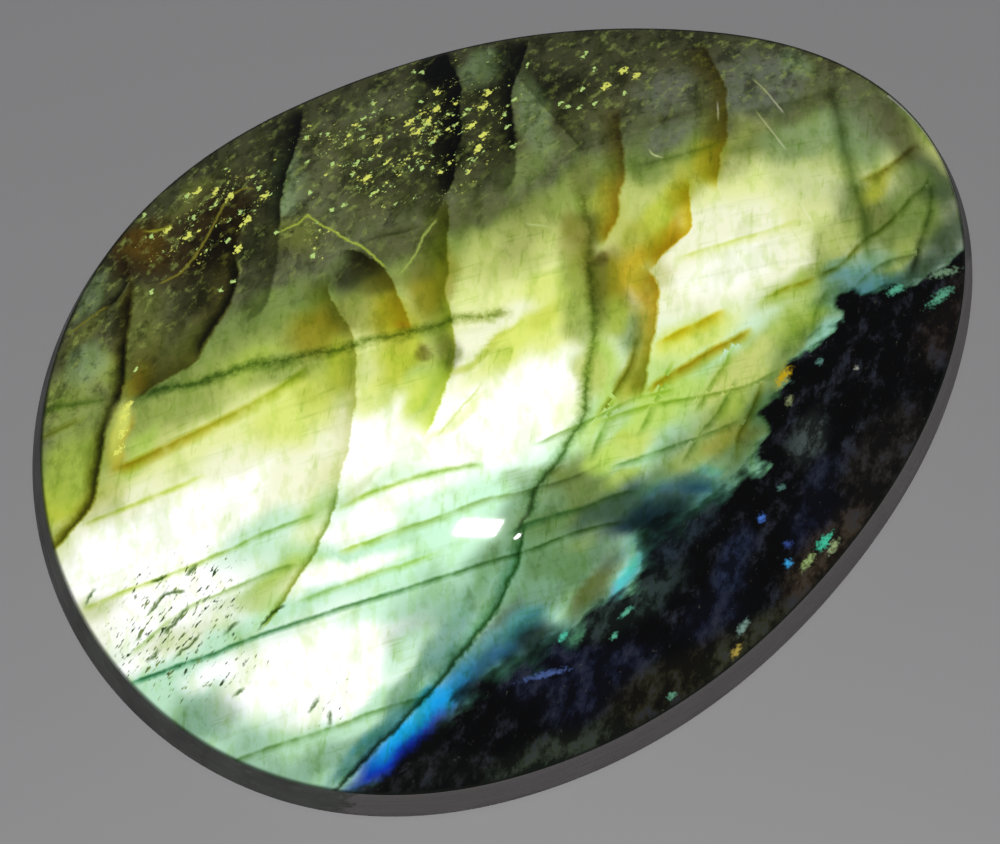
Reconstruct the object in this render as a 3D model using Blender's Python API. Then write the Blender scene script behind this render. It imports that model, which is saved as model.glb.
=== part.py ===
"""A polished labradorite cabochon, ground from one piece of stone.

It has a flat back with a fine bevel round it, a girdle wall that leans inwards as it
rises, and a low dome that meets the girdle at a crisp edge. The outline is a freeform egg.
Metres, +Z up. The origin is at the middle of the flat back, and +X points along the
stone towards its narrow end.
"""

import math

import bmesh
import bpy
import numpy as np

MM = 0.001

# Driving dimensions, in millimetres.
LENGTH = 40.0  # along X, at the widest line
WIDTH = 30.0  # along Y, at the widest line
TOTAL_HEIGHT = 6.5
GIRDLE_HEIGHT = 2.2  # from the back to the dome's crisp edge
GIRDLE_LEAN = 0.5  # how far the wall comes in from the widest line to that edge
BACK_BEVEL = 0.25  # as wide as it is high; its upper edge is the widest line
DOME_FULLNESS = 2.35  # 2 is a parabola; more makes the crown flatter and the rim steeper

# The outline's shape: how far it reaches from the middle every 30 degrees, anticlockwise
# from +X. A smooth closed curve runs through these, and is then brought to size.
OUTLINE_REACH = (19.9, 16.8, 14.6, 14.6, 16.7, 19.1, 20.0, 18.8, 16.3, 14.9, 15.3, 17.8)

# Mesh density.
AROUND = 120  # facets round the outline
BACK_RINGS = 3
DOME_RINGS = 20  # from the crisp edge up to the crown

CRISP_ANGLE = math.radians(25)  # two faces that meet at more than this keep a sharp edge
STONE_COLOUR = (0.33, 0.40, 0.24, 1.0)
STONE_ROUGHNESS = 0.08


def clear_scene():
    """Removes every object that the scene starts with."""
    for obj in list(bpy.data.objects):
        bpy.data.objects.remove(obj)


def smooth_closed_curve(reach, count):
    """Reads a closed cubic curve through evenly spaced values at count even steps."""
    knots = len(reach)
    bend = np.zeros((knots, knots))
    for i in range(knots):
        bend[i, i - 1] = 1
        bend[i, i] = 4
        bend[i, (i + 1) % knots] = 1
    slopes = np.linalg.solve(bend, 3 * (np.roll(reach, -1) - np.roll(reach, 1)))
    position = np.arange(count) * knots / count
    start = position.astype(int) % knots
    end = (start + 1) % knots
    t = position - np.floor(position)
    return (
        reach[start] * (1 + 2 * t) * (1 - t) ** 2
        + reach[end] * t**2 * (3 - 2 * t)
        + slopes[start] * t * (1 - t) ** 2
        - slopes[end] * t**2 * (1 - t)
    )


def widest_line():
    """The outline's points in millimetres, exactly LENGTH by WIDTH and centred."""
    angles = np.arange(AROUND) * 2 * math.pi / AROUND
    reach = smooth_closed_curve(np.array(OUTLINE_REACH), AROUND)
    points = np.column_stack((reach * np.cos(angles), reach * np.sin(angles)))
    low = points.min(axis=0)
    high = points.max(axis=0)
    return (points - (low + high) / 2) * (LENGTH, WIDTH) / (high - low)


def section():
    """The stone's section, from the middle of the back round to the crown.

    Each level is an inset from the widest line in millimetres, a share that scales what
    the inset leaves, and a height in millimetres.
    """
    levels = [(BACK_BEVEL, ring / BACK_RINGS, 0.0) for ring in range(BACK_RINGS + 1)]
    levels.append((0.0, 1.0, BACK_BEVEL))
    levels.append((GIRDLE_LEAN, 1.0, GIRDLE_HEIGHT))
    for ring in range(DOME_RINGS - 1, -1, -1):
        share = ring / DOME_RINGS
        rise = (TOTAL_HEIGHT - GIRDLE_HEIGHT) * (1 - share**DOME_FULLNESS)
        levels.append((GIRDLE_LEAN, share, GIRDLE_HEIGHT + rise))
    return levels


def ring_positions(line, inset, share, height):
    """The widest line drawn inwards to one level of the section, in metres."""
    reach = np.linalg.norm(line, axis=1, keepdims=True)
    drawn = line * (1 - inset / reach) * share * MM
    return [(x, y, height * MM) for x, y in drawn]


def add_ring(mesh, positions, lower):
    """Adds one level above the last, and the faces between the two.

    The middle of the back and the crown are one vertex each.
    """
    if positions[0][:2] == (0.0, 0.0):
        upper = [mesh.verts.new(positions[0])] * AROUND
    else:
        upper = [mesh.verts.new(position) for position in positions]
    for i in range(AROUND if lower else 0):
        j = (i + 1) % AROUND
        corners = dict.fromkeys((lower[i], lower[j], upper[j], upper[i]))
        mesh.faces.new(list(corners))
    return upper


def stone_material():
    """Polished grey-green feldspar."""
    material = bpy.data.materials.new("polished labradorite")
    material.use_nodes = True
    shader = material.node_tree.nodes["Principled BSDF"]
    shader.inputs["Base Color"].default_value = STONE_COLOUR
    shader.inputs["Roughness"].default_value = STONE_ROUGHNESS
    shader.inputs["Metallic"].default_value = 0.0
    return material


def make_cabochon():
    """The whole stone, as one closed solid."""
    mesh = bmesh.new()
    line = widest_line()
    ring = None
    for inset, share, height in section():
        ring = add_ring(mesh, ring_positions(line, inset, share, height), ring)
    bmesh.ops.recalc_face_normals(mesh, faces=mesh.faces)
    data = bpy.data.meshes.new("cabochon")
    mesh.to_mesh(data)
    mesh.free()
    data.shade_smooth()
    data.set_sharp_from_angle(angle=CRISP_ANGLE)
    data.materials.append(stone_material())
    stone = bpy.data.objects.new("cabochon", data)
    bpy.context.scene.collection.objects.link(stone)


clear_scene()
make_cabochon()
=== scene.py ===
"""A polished labradorite cabochon on a pale studio floor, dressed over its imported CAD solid."""

import math

import bpy
import numpy as np
from mathutils import Matrix, Vector, noise


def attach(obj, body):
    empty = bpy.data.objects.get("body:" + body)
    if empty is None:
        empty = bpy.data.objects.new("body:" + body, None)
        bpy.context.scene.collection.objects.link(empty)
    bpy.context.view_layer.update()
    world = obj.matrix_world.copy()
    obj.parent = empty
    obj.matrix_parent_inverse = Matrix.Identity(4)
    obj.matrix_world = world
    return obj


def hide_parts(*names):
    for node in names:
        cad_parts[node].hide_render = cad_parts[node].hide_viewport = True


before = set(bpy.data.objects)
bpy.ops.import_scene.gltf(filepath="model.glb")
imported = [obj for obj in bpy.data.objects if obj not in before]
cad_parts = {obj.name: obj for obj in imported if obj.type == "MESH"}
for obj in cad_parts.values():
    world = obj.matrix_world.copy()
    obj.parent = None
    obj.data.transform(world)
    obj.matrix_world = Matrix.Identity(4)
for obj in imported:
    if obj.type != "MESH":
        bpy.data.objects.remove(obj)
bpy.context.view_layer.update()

MM = 0.001


# ---------------------------------------------------------------------------------------
# The stone's shape
#
# One piece of labradorite feldspar, sawn to a slab, ground to a freeform egg and domed by
# hand on a wheel. The wheel leaves the dome's lower edge and the edges round the back
# almost sharp, softened a little by the polishing felt.
# ---------------------------------------------------------------------------------------

CRISP_ANGLE = math.radians(30)  # two faces that meet at more than this are a ground edge
FELT_ROUNDING = 0.07 * MM  # how far the felt has rounded each ground edge
SAME_PLACE = 0.001 * MM  # corners nearer together than this are one corner
FLAT_ENOUGH = math.radians(20)  # two triangles that meet at less than this make one quad
ANY_SHAPE = math.radians(180)  # and the quad may have any shape
SMOOTHINGS = 2  # how often each quad is cut in four

bpy.ops.object.select_all(action="DESELECT")
stone = bpy.data.objects.new("polished_cabochon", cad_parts["cabochon"].data.copy())
bpy.context.scene.collection.objects.link(stone)
stone.select_set(True)
bpy.context.view_layer.objects.active = stone

bpy.ops.mesh.customdata_custom_splitnormals_clear()
bpy.ops.object.mode_set(mode="EDIT")
bpy.ops.mesh.select_mode(type="EDGE")
bpy.ops.mesh.select_all(action="SELECT")
bpy.ops.mesh.remove_doubles(threshold=SAME_PLACE)
bpy.ops.mesh.tris_convert_to_quads(face_threshold=FLAT_ENOUGH, shape_threshold=ANY_SHAPE)
bpy.ops.mesh.select_all(action="DESELECT")
bpy.ops.mesh.edges_select_sharp(sharpness=CRISP_ANGLE)
bpy.ops.transform.edge_crease(value=1)
bpy.ops.object.mode_set(mode="OBJECT")

smoothing = stone.modifiers.new("Ground smooth", "SUBSURF")
smoothing.levels = SMOOTHINGS
smoothing.render_levels = SMOOTHINGS
bpy.ops.object.modifier_apply(modifier=smoothing.name)

bpy.ops.object.mode_set(mode="EDIT")
bpy.ops.mesh.select_all(action="DESELECT")
bpy.ops.mesh.edges_select_sharp(sharpness=CRISP_ANGLE)
bpy.ops.mesh.bevel(offset=FELT_ROUNDING, segments=2, affect="EDGES")
bpy.ops.object.mode_set(mode="OBJECT")
bpy.ops.object.shade_smooth()

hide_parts("cabochon")
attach(stone, "root")


# ---------------------------------------------------------------------------------------
# The flash
#
# Labradorite is grey-green, but thin layers inside it throw back bands of colour: here
# white, mint and gold across the middle, going out towards a dark side that only sparkles.
# The flash is a painted sheen: its reflected colour is laid into the base colour.
# ---------------------------------------------------------------------------------------

LIT = 1.30  # how much brighter than its paint a surface looks under this studio's light
SCREEN_CURVE = 2.2  # how a screen's colour numbers grow with its light


def paint(red, green, blue):
    """A base colour that looks like this screen colour (0 to 255) in the studio's light."""
    screen = np.array((red, green, blue)) / 255
    return screen**SCREEN_CURVE / LIT


# The stone's colours, darkest first.
BLACK = paint(8, 9, 9)
COAL = paint(14, 15, 11)
SOOT = paint(24, 24, 18)
NAVY = paint(28, 32, 52)
DARK_OLIVE = paint(60, 64, 42)
PEAT = paint(58, 46, 26)
PINE = paint(55, 78, 48)
DUSK = paint(74, 76, 52)
HAZEL = paint(92, 94, 62)
SMOKE = paint(106, 112, 80)
FOG = paint(108, 114, 98)
BROWN = paint(98, 76, 24)
OLIVE = paint(110, 116, 58)
OLIVE_GOLD = paint(148, 142, 36)
STRAW = paint(178, 182, 62)
AMBER = paint(172, 122, 8)
GOLD = paint(205, 180, 45)
SAGE = paint(142, 166, 118)
JADE = paint(98, 134, 90)
MOSS = paint(126, 146, 78)
FERN = paint(155, 172, 88)
SEA = paint(125, 168, 138)
SLATE = paint(70, 95, 88)
TEAL = paint(72, 140, 140)
STEEL = paint(66, 118, 155)
LAGOON = paint(100, 155, 158)
ROYAL = paint(4, 52, 200)
AZURE = paint(30, 175, 250)
CYAN = paint(110, 235, 225)
LEAF = paint(172, 194, 78)
WILLOW = paint(198, 210, 72)
LIME = paint(188, 218, 100)
KHAKI = paint(202, 212, 122)
LEMON = paint(226, 238, 118)
MINT = paint(195, 238, 205)
BUTTER = paint(238, 246, 165)
CREAM = paint(252, 254, 218)
WHITE = np.array([0.95, 0.95, 0.95])

mesh = stone.data
positions = np.empty(3 * len(mesh.vertices))
mesh.vertices.foreach_get("co", positions)
positions = positions.reshape(-1, 3) / MM
spots = positions[:, :2]  # where each vertex is in millimetres, seen from above

# Nothing in a crystal runs quite straight, so soft colours are laid a little off their places.
# How far a colour strays, and over what distance it strays back again, in millimetres.
WANDERS = ((0.35, 3.0), (0.28, 0.9))
WANDER_SEED = 4  # which way they stray, the same each time
noise.seed_set(WANDER_SEED)
strayed = spots.copy()
for reach, size in WANDERS:
    drift = [noise.noise_vector(Vector((x, y, size)) / size).xy for x, y in spots]
    strayed += reach * np.array(drift)


def in_oval(places, middle, half_size, turn):
    """Where places are from the middle of a turned oval, measured in its own half sizes."""
    cosine = math.cos(math.radians(turn))
    sine = math.sin(math.radians(turn))
    return (places - middle) @ np.array([[cosine, -sine], [sine, cosine]]) / half_size


def brush(x, y, length, width, turn=0.0, soft=0.5):
    """How strongly a soft oval brush mark covers each vertex, from 0 to 1.

    Its length and its width are measured from its middle out.
    """
    local = in_oval(strayed, (x, y), (length, width), turn)
    inside = np.clip((1 + soft - np.hypot(*local.T)) / (2 * soft), 0, 1)
    return inside * inside * (3 - 2 * inside)


def brush_colours(base, marks):
    """Lays soft oval marks on a base colour, one over another."""
    colours = np.array(base)
    for colour, *oval, strength in marks:
        cover = strength * brush(*oval)
        colours += cover[:, None] * (colour - colours)
    return colours


def store(name, values):
    """Keeps a number or a colour on each vertex of the stone, for its material to read."""
    values = np.asarray(values, dtype=np.float32)
    if values.ndim == 1:
        layer = mesh.attributes.new(name, "FLOAT", "POINT")
        layer.data.foreach_set("value", values)
    else:
        layer = mesh.attributes.new(name, "FLOAT_COLOR", "POINT")
        opaque = np.ones((len(values), 1), dtype=np.float32)
        layer.data.foreach_set("color", np.hstack((values, opaque)).ravel())


def store_zones(name, zones):
    """Keeps on each vertex how strongly soft oval zones cover it."""
    cover = np.zeros(len(spots))
    for *oval, strength in zones:
        cover = np.maximum(cover, strength * brush(*oval))
    store(name, cover)


# The flash as a whole: where its upper edge runs, and its colour at so many millimetres above
# that edge, or below it.
FLASH_EDGE = (
    (-20, 6.5), (-15, 6.3), (-10, 6.6), (-5, 6.0), (0, 5.2),
    (4, 4.6), (9, 3.9), (13, 3.0), (16, 1.8), (20, 0),
)
FLASH_FALL = (
    (-9.0, MINT), (-6.0, CREAM), (-4.2, CREAM), (-2.8, BUTTER), (-1.5, KHAKI),
    (-0.5, FERN), (0.4, MOSS), (1.5, SMOKE), (2.8, HAZEL), (5.0, DUSK),
)
edge_x, edge_y = zip(*FLASH_EDGE)
above = strayed[:, 1] - np.interp(strayed[:, 0], edge_x, edge_y)
heights, fall = zip(*FLASH_FALL)
ground = np.column_stack([np.interp(above, heights, channel) for channel in zip(*fall)])

# Where it swells, dims or changes hue: colour, x, y, length, width, turn, strength.
GLOWS = (
    # the lower left, white and mint
    (WHITE, -16.8, 2.2, 3, 1.9, -5, 1), (WHITE, -13, 1.4, 3.8, 1.6, -8, 1),
    (CREAM, -9.2, 0.5, 2.2, 1.3, 10, 1), (WHITE, -16, -0.6, 3, 1.2, -10, 1),
    (MINT, -12, -0.9, 2.2, 0.8, -15, 0.8), (LIME, -12.4, -2.6, 1.6, 0.5, -10, 0.8),
    (LIME, -10.2, -1.5, 1, 0.6, 30, 0.9), (WHITE, -16.6, -2, 2.6, 0.6, -12, 0.9),
    (WHITE, -15.6, -4.3, 1.6, 0.3, -15, 0.7), (SEA, -17.9, -4.7, 1, 0.9, -30, 0.9),
    (SEA, -16.8, -5.3, 1.1, 0.7, 0, 0.9), (WHITE, -12.4, -5.9, 3.8, 1.6, -12, 1),
    (WHITE, -14.6, -5.3, 1.5, 0.9, -12, 0.9), (WHITE, -10.6, -7.2, 2.2, 1, 0, 1),
    (SEA, -16.6, -7.4, 1.6, 1, -35, 0.6), (MINT, -14.8, -7.8, 1.2, 0.5, -20, 0.7),
    (WHITE, -13, -7.3, 1.6, 0.7, -15, 0.9), (SEA, -14.2, -9, 2.2, 0.5, -15, 0.8),
    (MINT, -11.8, -8.5, 1.6, 0.35, -12, 0.8), (SEA, -6.4, -6.7, 2.8, 0.9, 30, 0.9),
    (MINT, -9, -5.7, 2.4, 0.7, -15, 0.9), (SEA, -8.6, -6.9, 1.6, 0.8, 20, 0.6),
    (SAGE, -8.9, -8.1, 1.6, 0.35, 15, 0.8), (TEAL, -11.9, -9.15, 2, 0.28, 10, 0.9),
    (TEAL, -13.6, -9.6, 1.4, 0.25, 5, 0.7), (SEA, -10.3, -8.55, 1.6, 0.4, 12, 0.8),
    (MINT, -9.9, -7.6, 1.3, 0.5, 15, 0.8), (JADE, -8.7, -8.45, 0.9, 0.3, 15, 0.6),
    (WHITE, -18, -2, 1.4, 0.4, -12, 0.8),
    # between the leaning blocks, gold and yellow-green
    (BUTTER, -12, 3.3, 3.6, 1, -8, 0.9), (CREAM, -11, 2.3, 2.2, 0.6, -8, 0.8),
    (CREAM, -15.4, 3.6, 1.8, 0.5, -8, 0.7), (FERN, -12.2, 5.6, 1.9, 0.9, -15, 0.9),
    (KHAKI, -13.4, 4.6, 1.4, 0.5, -10, 0.8), (LIME, -14, 5, 1, 0.5, 20, 0.7),
    (LEMON, -8.6, 2.6, 1.8, 1.3, 0, 0.9), (WILLOW, -7, 3.4, 0.9, 1.2, -30, 0.7),
    (LEAF, -8.4, 5.1, 1.6, 0.7, -20, 0.8), (FERN, -7.6, 4.4, 1.6, 0.6, -20, 0.8),
    (OLIVE_GOLD, -5.9, 4.9, 1.2, 1, 0, 0.95), (WILLOW, -5.9, 3.3, 0.7, 0.9, -20, 0.9),
    (LEMON, -4.6, 1.6, 1, 0.8, 0, 0.9), (WILLOW, -3.7, 2.3, 1.3, 1, 0, 1),
    (STRAW, -3.2, 3.5, 1.1, 0.9, -20, 0.9), (FERN, -1.9, 2.6, 0.7, 1, -25, 0.9),
    (OLIVE, -2.3, 1.3, 0.45, 0.9, -40, 0.8), (BROWN, -2.95, 1.9, 0.25, 0.22, 0, 0.7),
    (OLIVE_GOLD, -1.6, 4, 0.6, 1.2, -20, 0.9), (LIME, -3.9, 0.6, 1.3, 0.7, 30, 0.8),
    (WHITE, -6.6, 0.2, 1.8, 1.2, 35, 1), (WHITE, -7.6, -2.6, 3.4, 0.7, -15, 0.9),
    (WHITE, -2, -2.1, 3.2, 1.6, -12, 1), (WHITE, 0.3, -2.4, 1.2, 1.2, 0, 0.9),
    (MINT, -5.4, -3.6, 2, 0.6, -15, 0.7), (WHITE, -10.4, -3.5, 2.4, 0.35, -17, 0.9),
    (MINT, -5, -5.6, 2, 0.6, -20, 0.8), (LEMON, 0.6, 0.2, 2.6, 0.7, 5, 1),
    (WILLOW, -1.2, 0.55, 1.6, 0.16, 0, 0.8), (WILLOW, 1.6, 0.3, 0.9, 0.4, 10, 0.6),
    (CREAM, 0.2, 1.1, 1.8, 0.35, -5, 0.8), (LEMON, 1.6, -0.6, 1.4, 0.6, 10, 0.8),
    (BUTTER, -3.2, -1.1, 1.6, 0.2, 12, 0.7), (BUTTER, 0.9, 2.3, 1.8, 0.9, -15, 0.9),
    (KHAKI, 1.8, 3.4, 2, 1.1, -10, 0.9), (HAZEL, 1.8, 5.6, 2, 0.7, -10, 0.8),
    (SMOKE, 4.6, 5.8, 1.6, 1, -5, 0.8), (LEMON, 2.4, 1.2, 1.1, 0.8, -20, 0.8),
    (FERN, 2.9, -0.4, 0.8, 1.2, -35, 0.9), (OLIVE, 4, 1.2, 0.7, 1.4, -30, 0.95),
    (OLIVE_GOLD, 4.9, 0, 0.8, 1.5, -30, 0.95), (STRAW, 4.4, -1.6, 0.7, 0.8, -35, 0.9),
    (FERN, 5.6, 4, 1.2, 0.9, 30, 0.8),
    # the middle, lime and mint over grey
    (LEMON, 6, -3.4, 2.2, 0.7, 0, 0.9), (LIME, 3, -4.6, 3.4, 1.1, -10, 0.95),
    (LIME, 2.4, -2.5, 0.8, 1.3, -35, 0.9), (STRAW, 3, -3.5, 0.9, 0.4, 35, 0.8),
    (MINT, 0.6, -3.6, 0.8, 0.4, -10, 0.7), (MOSS, -1, -5.4, 1, 0.6, 20, 0.95),
    (LEAF, 0.6, -6.3, 1.2, 0.4, -15, 0.9), (WILLOW, 1.4, -5.4, 1.4, 0.5, -15, 0.7),
    (MINT, 1.6, -4.6, 1, 0.4, 20, 0.8), (SAGE, -2, -4.5, 1.2, 0.35, -20, 0.6),
    (JADE, -3.2, -5.5, 1.5, 0.7, 25, 0.8), (OLIVE, -1.6, -5.1, 0.9, 0.3, 25, 0.9),
    (JADE, -4, -6.8, 1.8, 0.8, -15, 0.9), (JADE, -1.8, -6.4, 2, 0.8, -10, 0.9),
    (DUSK, -0.6, -6.6, 1.4, 0.4, -15, 0.6), (JADE, -3.6, -8, 2.8, 1.2, 0, 1),
    (SEA, -5.2, -7.9, 1, 0.5, 20, 0.7), (MOSS, -1.2, -7.6, 1.2, 0.4, -10, 0.6),
    (SEA, -4.6, -6.9, 2, 0.6, 22, 0.8), (SLATE, -6.6, -8.9, 2.6, 0.5, 5, 0.8),
    (LAGOON, -7.2, -9.2, 2, 0.5, 0, 0.9), (STEEL, -7, -9.6, 1.8, 0.35, 0, 0.9),
    (TEAL, -5.2, -9.2, 0.9, 0.5, 0, 0.8), (SOOT, -5.2, -9.9, 0.9, 0.5, 0, 0.9),
    (OLIVE, -2.3, -9.3, 1.7, 0.45, 22, 0.95), (AZURE, -1.3, -9.75, 1.3, 0.28, 18, 0.5),
    (CYAN, -0.9, -9.55, 0.9, 0.25, 25, 0.95), (SLATE, 0.8, -7.4, 2.6, 0.8, -15, 1),
    (TEAL, 2.8, -8, 1.6, 0.35, -25, 0.8), (NAVY, 1, -8.3, 1.8, 0.45, -15, 0.9),
    (STEEL, 2.6, -8.2, 1.2, 0.2, -25, 0.6), (CYAN, 3.9, -8, 0.7, 0.15, -25, 0.6),
    (COAL, -11.6, -11, 3.6, 0.9, 8, 1), (ROYAL, -12, -10.15, 2.9, 0.42, 8, 1),
    (AZURE, -10.7, -9.68, 2.3, 0.4, 10, 1), (paint(60, 190, 255), -10.3, -9.45, 1, 0.18, 10, 0.8),
    (FERN, 4.6, -6.9, 2.4, 1, 10, 0.9), (MOSS, 5.8, -7.7, 1.8, 0.7, 30, 0.95),
    (OLIVE, 6.2, -7.4, 0.9, 0.35, 40, 0.8), (GOLD, 8.4, -6.2, 0.8, 0.2, 25, 0.9),
    (CYAN, 11.5, -5, 0.5, 0.25, 40, 0.8), (SEA, 10.9, -5.3, 0.7, 0.2, 20, 0.7),
    (OLIVE_GOLD, 4.9, -7.3, 1.2, 0.4, 10, 0.6), (SAGE, 3, -6.9, 1, 0.6, 0, 0.6),
    (LEAF, 8, -5.2, 2.8, 0.7, 10, 0.8), (KHAKI, 7.2, -5.3, 1.8, 0.6, 10, 1),
    (FERN, 9.4, -5.5, 1.2, 0.4, 20, 0.8), (MOSS, -1.4, -5.7, 2, 0.9, 10, 0.9),
    (PINE, -1.4, -5.8, 1.7, 0.8, 10, 0.4), (JADE, -3, -6.3, 1.4, 0.6, 10, 0.6),
    (LIME, 0.5, -5.4, 0.8, 0.4, 0, 0.8), (PINE, -0.4, -7.1, 1.6, 0.5, -10, 0.6),
    (paint(36, 58, 66), 0.8, -8.2, 1.3, 0.4, -10, 0.9), (JADE, 2, -7.3, 0.9, 0.3, -10, 0.6),
    (SEA, -4.2, -8.5, 0.9, 0.4, 0, 0.6), (CREAM, 0.3, -3.3, 0.9, 0.5, -10, 0.8),
    (KHAKI, 1.8, -2.5, 0.6, 1, -35, 0.8), (LEAF, 1.8, -4.5, 0.9, 0.4, 20, 0.5),
    (LEMON, -5.6, 1.6, 0.7, 0.9, -30, 0.8), (LEMON, -4.3, 0.6, 0.9, 0.4, 30, 0.8),
    # the narrow end, cream going to moss
    (CREAM, 9.6, -0.9, 4.4, 2.2, -10, 1), (WHITE, 8.9, -1.6, 1.8, 0.9, -10, 0.6),
    (BUTTER, 12, 1.2, 2, 1.1, -20, 0.9), (LEAF, 10.9, -3.6, 1.8, 0.5, 0, 0.9),
    (FERN, 9.9, -5.4, 2.2, 0.5, 10, 0.95), (MOSS, 7.2, -6.5, 1.6, 0.6, 30, 0.9),
    (FERN, 12.5, -3.4, 1.2, 0.5, 10, 0.9), (KHAKI, 7.6, -5.5, 1.3, 0.4, 15, 0.9),
    (FERN, 6.2, -6.4, 0.9, 0.4, 30, 0.8), (MOSS, 13.2, 2.6, 1.6, 0.7, -15, 0.8),
    (BUTTER, 13.2, -1.2, 1.4, 1.6, 0, 0.7), (KHAKI, 12.8, 3.2, 1.2, 0.6, -10, 0.7),
    (SAGE, 14.6, 1.6, 1.4, 0.8, -20, 0.7), (FERN, 13.4, -2.6, 1.4, 0.7, 20, 0.8),
    (SAGE, 16.8, 0.6, 1.4, 1.6, 0, 0.9), (MOSS, 15.2, -2.2, 1.2, 1.4, 0, 0.95),
    (MOSS, 16.6, -3.2, 2.4, 1.2, 10, 1), (OLIVE, 15.2, -2.5, 0.7, 0.7, 0, 0.6),
    (STRAW, 16.2, -1.6, 1.1, 0.45, 10, 0.9), (FERN, 15.2, -4.3, 1.4, 0.6, 0, 0.9),
    (PINE, 17.6, -4.6, 1.6, 0.8, 10, 0.9), (PINE, 18.6, -2.2, 0.9, 1.8, 10, 0.9),
    (MOSS, 17.9, -1.9, 0.8, 0.7, 10, 0.6), (SMOKE, 17.8, 1.2, 1.2, 1.4, 0, 0.8),
    (HAZEL, 18.6, 0.4, 0.7, 1.6, 0, 0.8), (SEA, 13.6, -3.8, 1.2, 0.5, -10, 0.8),
    (TEAL, 13.8, -4.9, 1.2, 0.4, -5, 0.8), (LAGOON, 12.9, -4.3, 1.1, 0.5, 0, 0.8),
    (LAGOON, 13.8, -4.8, 0.7, 0.3, 0, 0.6), (SEA, 14.6, -5.3, 1, 0.3, -5, 0.9),
    (PINE, 15.6, -5.2, 1.4, 0.4, -5, 0.9), (LEAF, 10.6, -4.7, 1.6, 0.7, 15, 0.8),
    (FOG, 14.6, 4.6, 1.8, 1.8, -30, 0.9), (SAGE, 16.6, 4.5, 0.6, 0.8, 0, 0.6),
    (HAZEL, 16, 2.6, 1.8, 0.4, -5, 0.6),
    # gold and amber where iron has stained the fractures
    (KHAKI, 7.2, 2.6, 1, 1.4, -35, 0.8), (WILLOW, 7.8, 1.5, 1.6, 0.7, 35, 0.9),
    (GOLD, 7.4, 0.7, 1.3, 0.3, 15, 0.8), (STRAW, 9.2, 2.2, 1.2, 0.45, 45, 0.9),
    (STRAW, 10.9, 2.7, 1.1, 0.6, 35, 0.95), (BUTTER, 10.2, 1.5, 0.6, 0.3, 30, 0.8),
    (STRAW, 6.4, 1, 0.9, 1.2, -30, 0.9), (STRAW, 6.2, 3, 0.6, 1.4, -35, 0.7),
    (OLIVE_GOLD, 4.7, 0.1, 0.9, 1.5, -25, 1), (GOLD, 5.7, 0.1, 0.5, 0.9, -20, 0.9),
    (GOLD, 5.6, -0.9, 0.3, 0.8, -25, 0.8), (BROWN, 4.85, 1.25, 0.3, 0.3, 0, 0.9),
    (LEAF, 3.9, -1.1, 0.9, 0.6, 45, 0.8), (SAGE, 4.1, -2.1, 0.9, 0.4, 50, 0.9),
    # the dark upper side
    (WILLOW, -18, 5.5, 1.1, 0.8, 40, 1), (LEAF, -16.9, 6.3, 1.5, 1, 45, 0.9),
    (FERN, -15.5, 8.3, 1.4, 1.1, 45, 0.8), (FERN, -13.4, 8.6, 0.8, 0.9, 45, 0.9),
    (SAGE, -14.1, 9.4, 0.9, 0.7, 30, 0.7), (OLIVE, -13.6, 10.6, 1.2, 0.4, 10, 0.8),
    (SAGE, -12.2, 12, 1.2, 0.5, 20, 0.5), (OLIVE, -11.8, 8.6, 1.2, 0.9, 20, 0.9),
    (OLIVE, -11, 10.2, 0.8, 0.9, -10, 0.7), (OLIVE_GOLD, -12.7, 7.6, 0.8, 0.5, 20, 0.8),
    (PEAT, -9.8, 12.2, 1.2, 1.2, 10, 0.9), (PEAT, -7.4, 11.3, 2.6, 1.3, 20, 0.9),
    (BROWN, -9.4, 12.2, 0.6, 0.8, -10, 0.6), (OLIVE, -6.8, 13, 1.6, 0.4, 10, 0.7),
    (HAZEL, -9, 9, 1.4, 0.7, 20, 0.8), (DUSK, -6.6, 8.6, 0.8, 0.9, -20, 0.8),
    (MOSS, -6.9, 7, 1.8, 0.4, 5, 0.8), (SAGE, -3.6, 10.9, 0.7, 1.7, -35, 0.8),
    (SMOKE, -2.4, 10.2, 1.2, 1.8, -20, 0.9), (OLIVE, -4.4, 9.2, 0.9, 0.8, 0, 0.9),
    (MOSS, -4.4, 5, 0.6, 0.8, 0, 0.7), (DARK_OLIVE, -3.4, 6.1, 1, 0.8, 0, 0.95),
    (OLIVE, -2.9, 5.1, 0.7, 0.4, 0, 0.8), (STRAW, -3.1, 3.9, 0.6, 0.6, 0, 0.9),
    (AMBER, -2.95, 3.3, 0.2, 0.2, 0, 0.8), (HAZEL, -1.4, 6.3, 1.3, 0.7, -10, 0.9),
    (OLIVE, -1.1, 5.1, 0.9, 0.6, 20, 0.8), (OLIVE_GOLD, -0.7, 4, 0.4, 0.9, -25, 0.7),
    (DUSK, 2, 9.6, 2.6, 2, 20, 0.8), (DARK_OLIVE, 4, 11.4, 0.7, 1.2, -15, 0.7),
    (SMOKE, 1.6, 11.9, 1.6, 0.5, -10, 0.5), (HAZEL, -1, 10.6, 1.6, 2, 0, 0.7),
    (SMOKE, 0.6, 12.6, 1.6, 0.6, -10, 0.5), (DUSK, 3.6, 8, 1.2, 1.2, -30, 0.7),
    (SMOKE, 6.2, 8.1, 0.7, 2, -15, 0.9), (MOSS, 4.8, 6.2, 1.4, 0.6, 20, 0.6),
    (SAGE, 5.9, 11.3, 1.1, 0.8, 0, 0.9), (FOG, 11.2, 6.2, 1.4, 1, 0, 0.8),
    (FOG, 10.2, 4.4, 1.2, 0.6, 0, 0.8), (MOSS, 8.6, 3.9, 0.7, 0.7, 0, 0.6),
    (HAZEL, 12.2, 3.7, 0.8, 0.6, 0, 0.8), (OLIVE, 6.2, 4.6, 0.6, 0.7, -30, 0.7),
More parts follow.
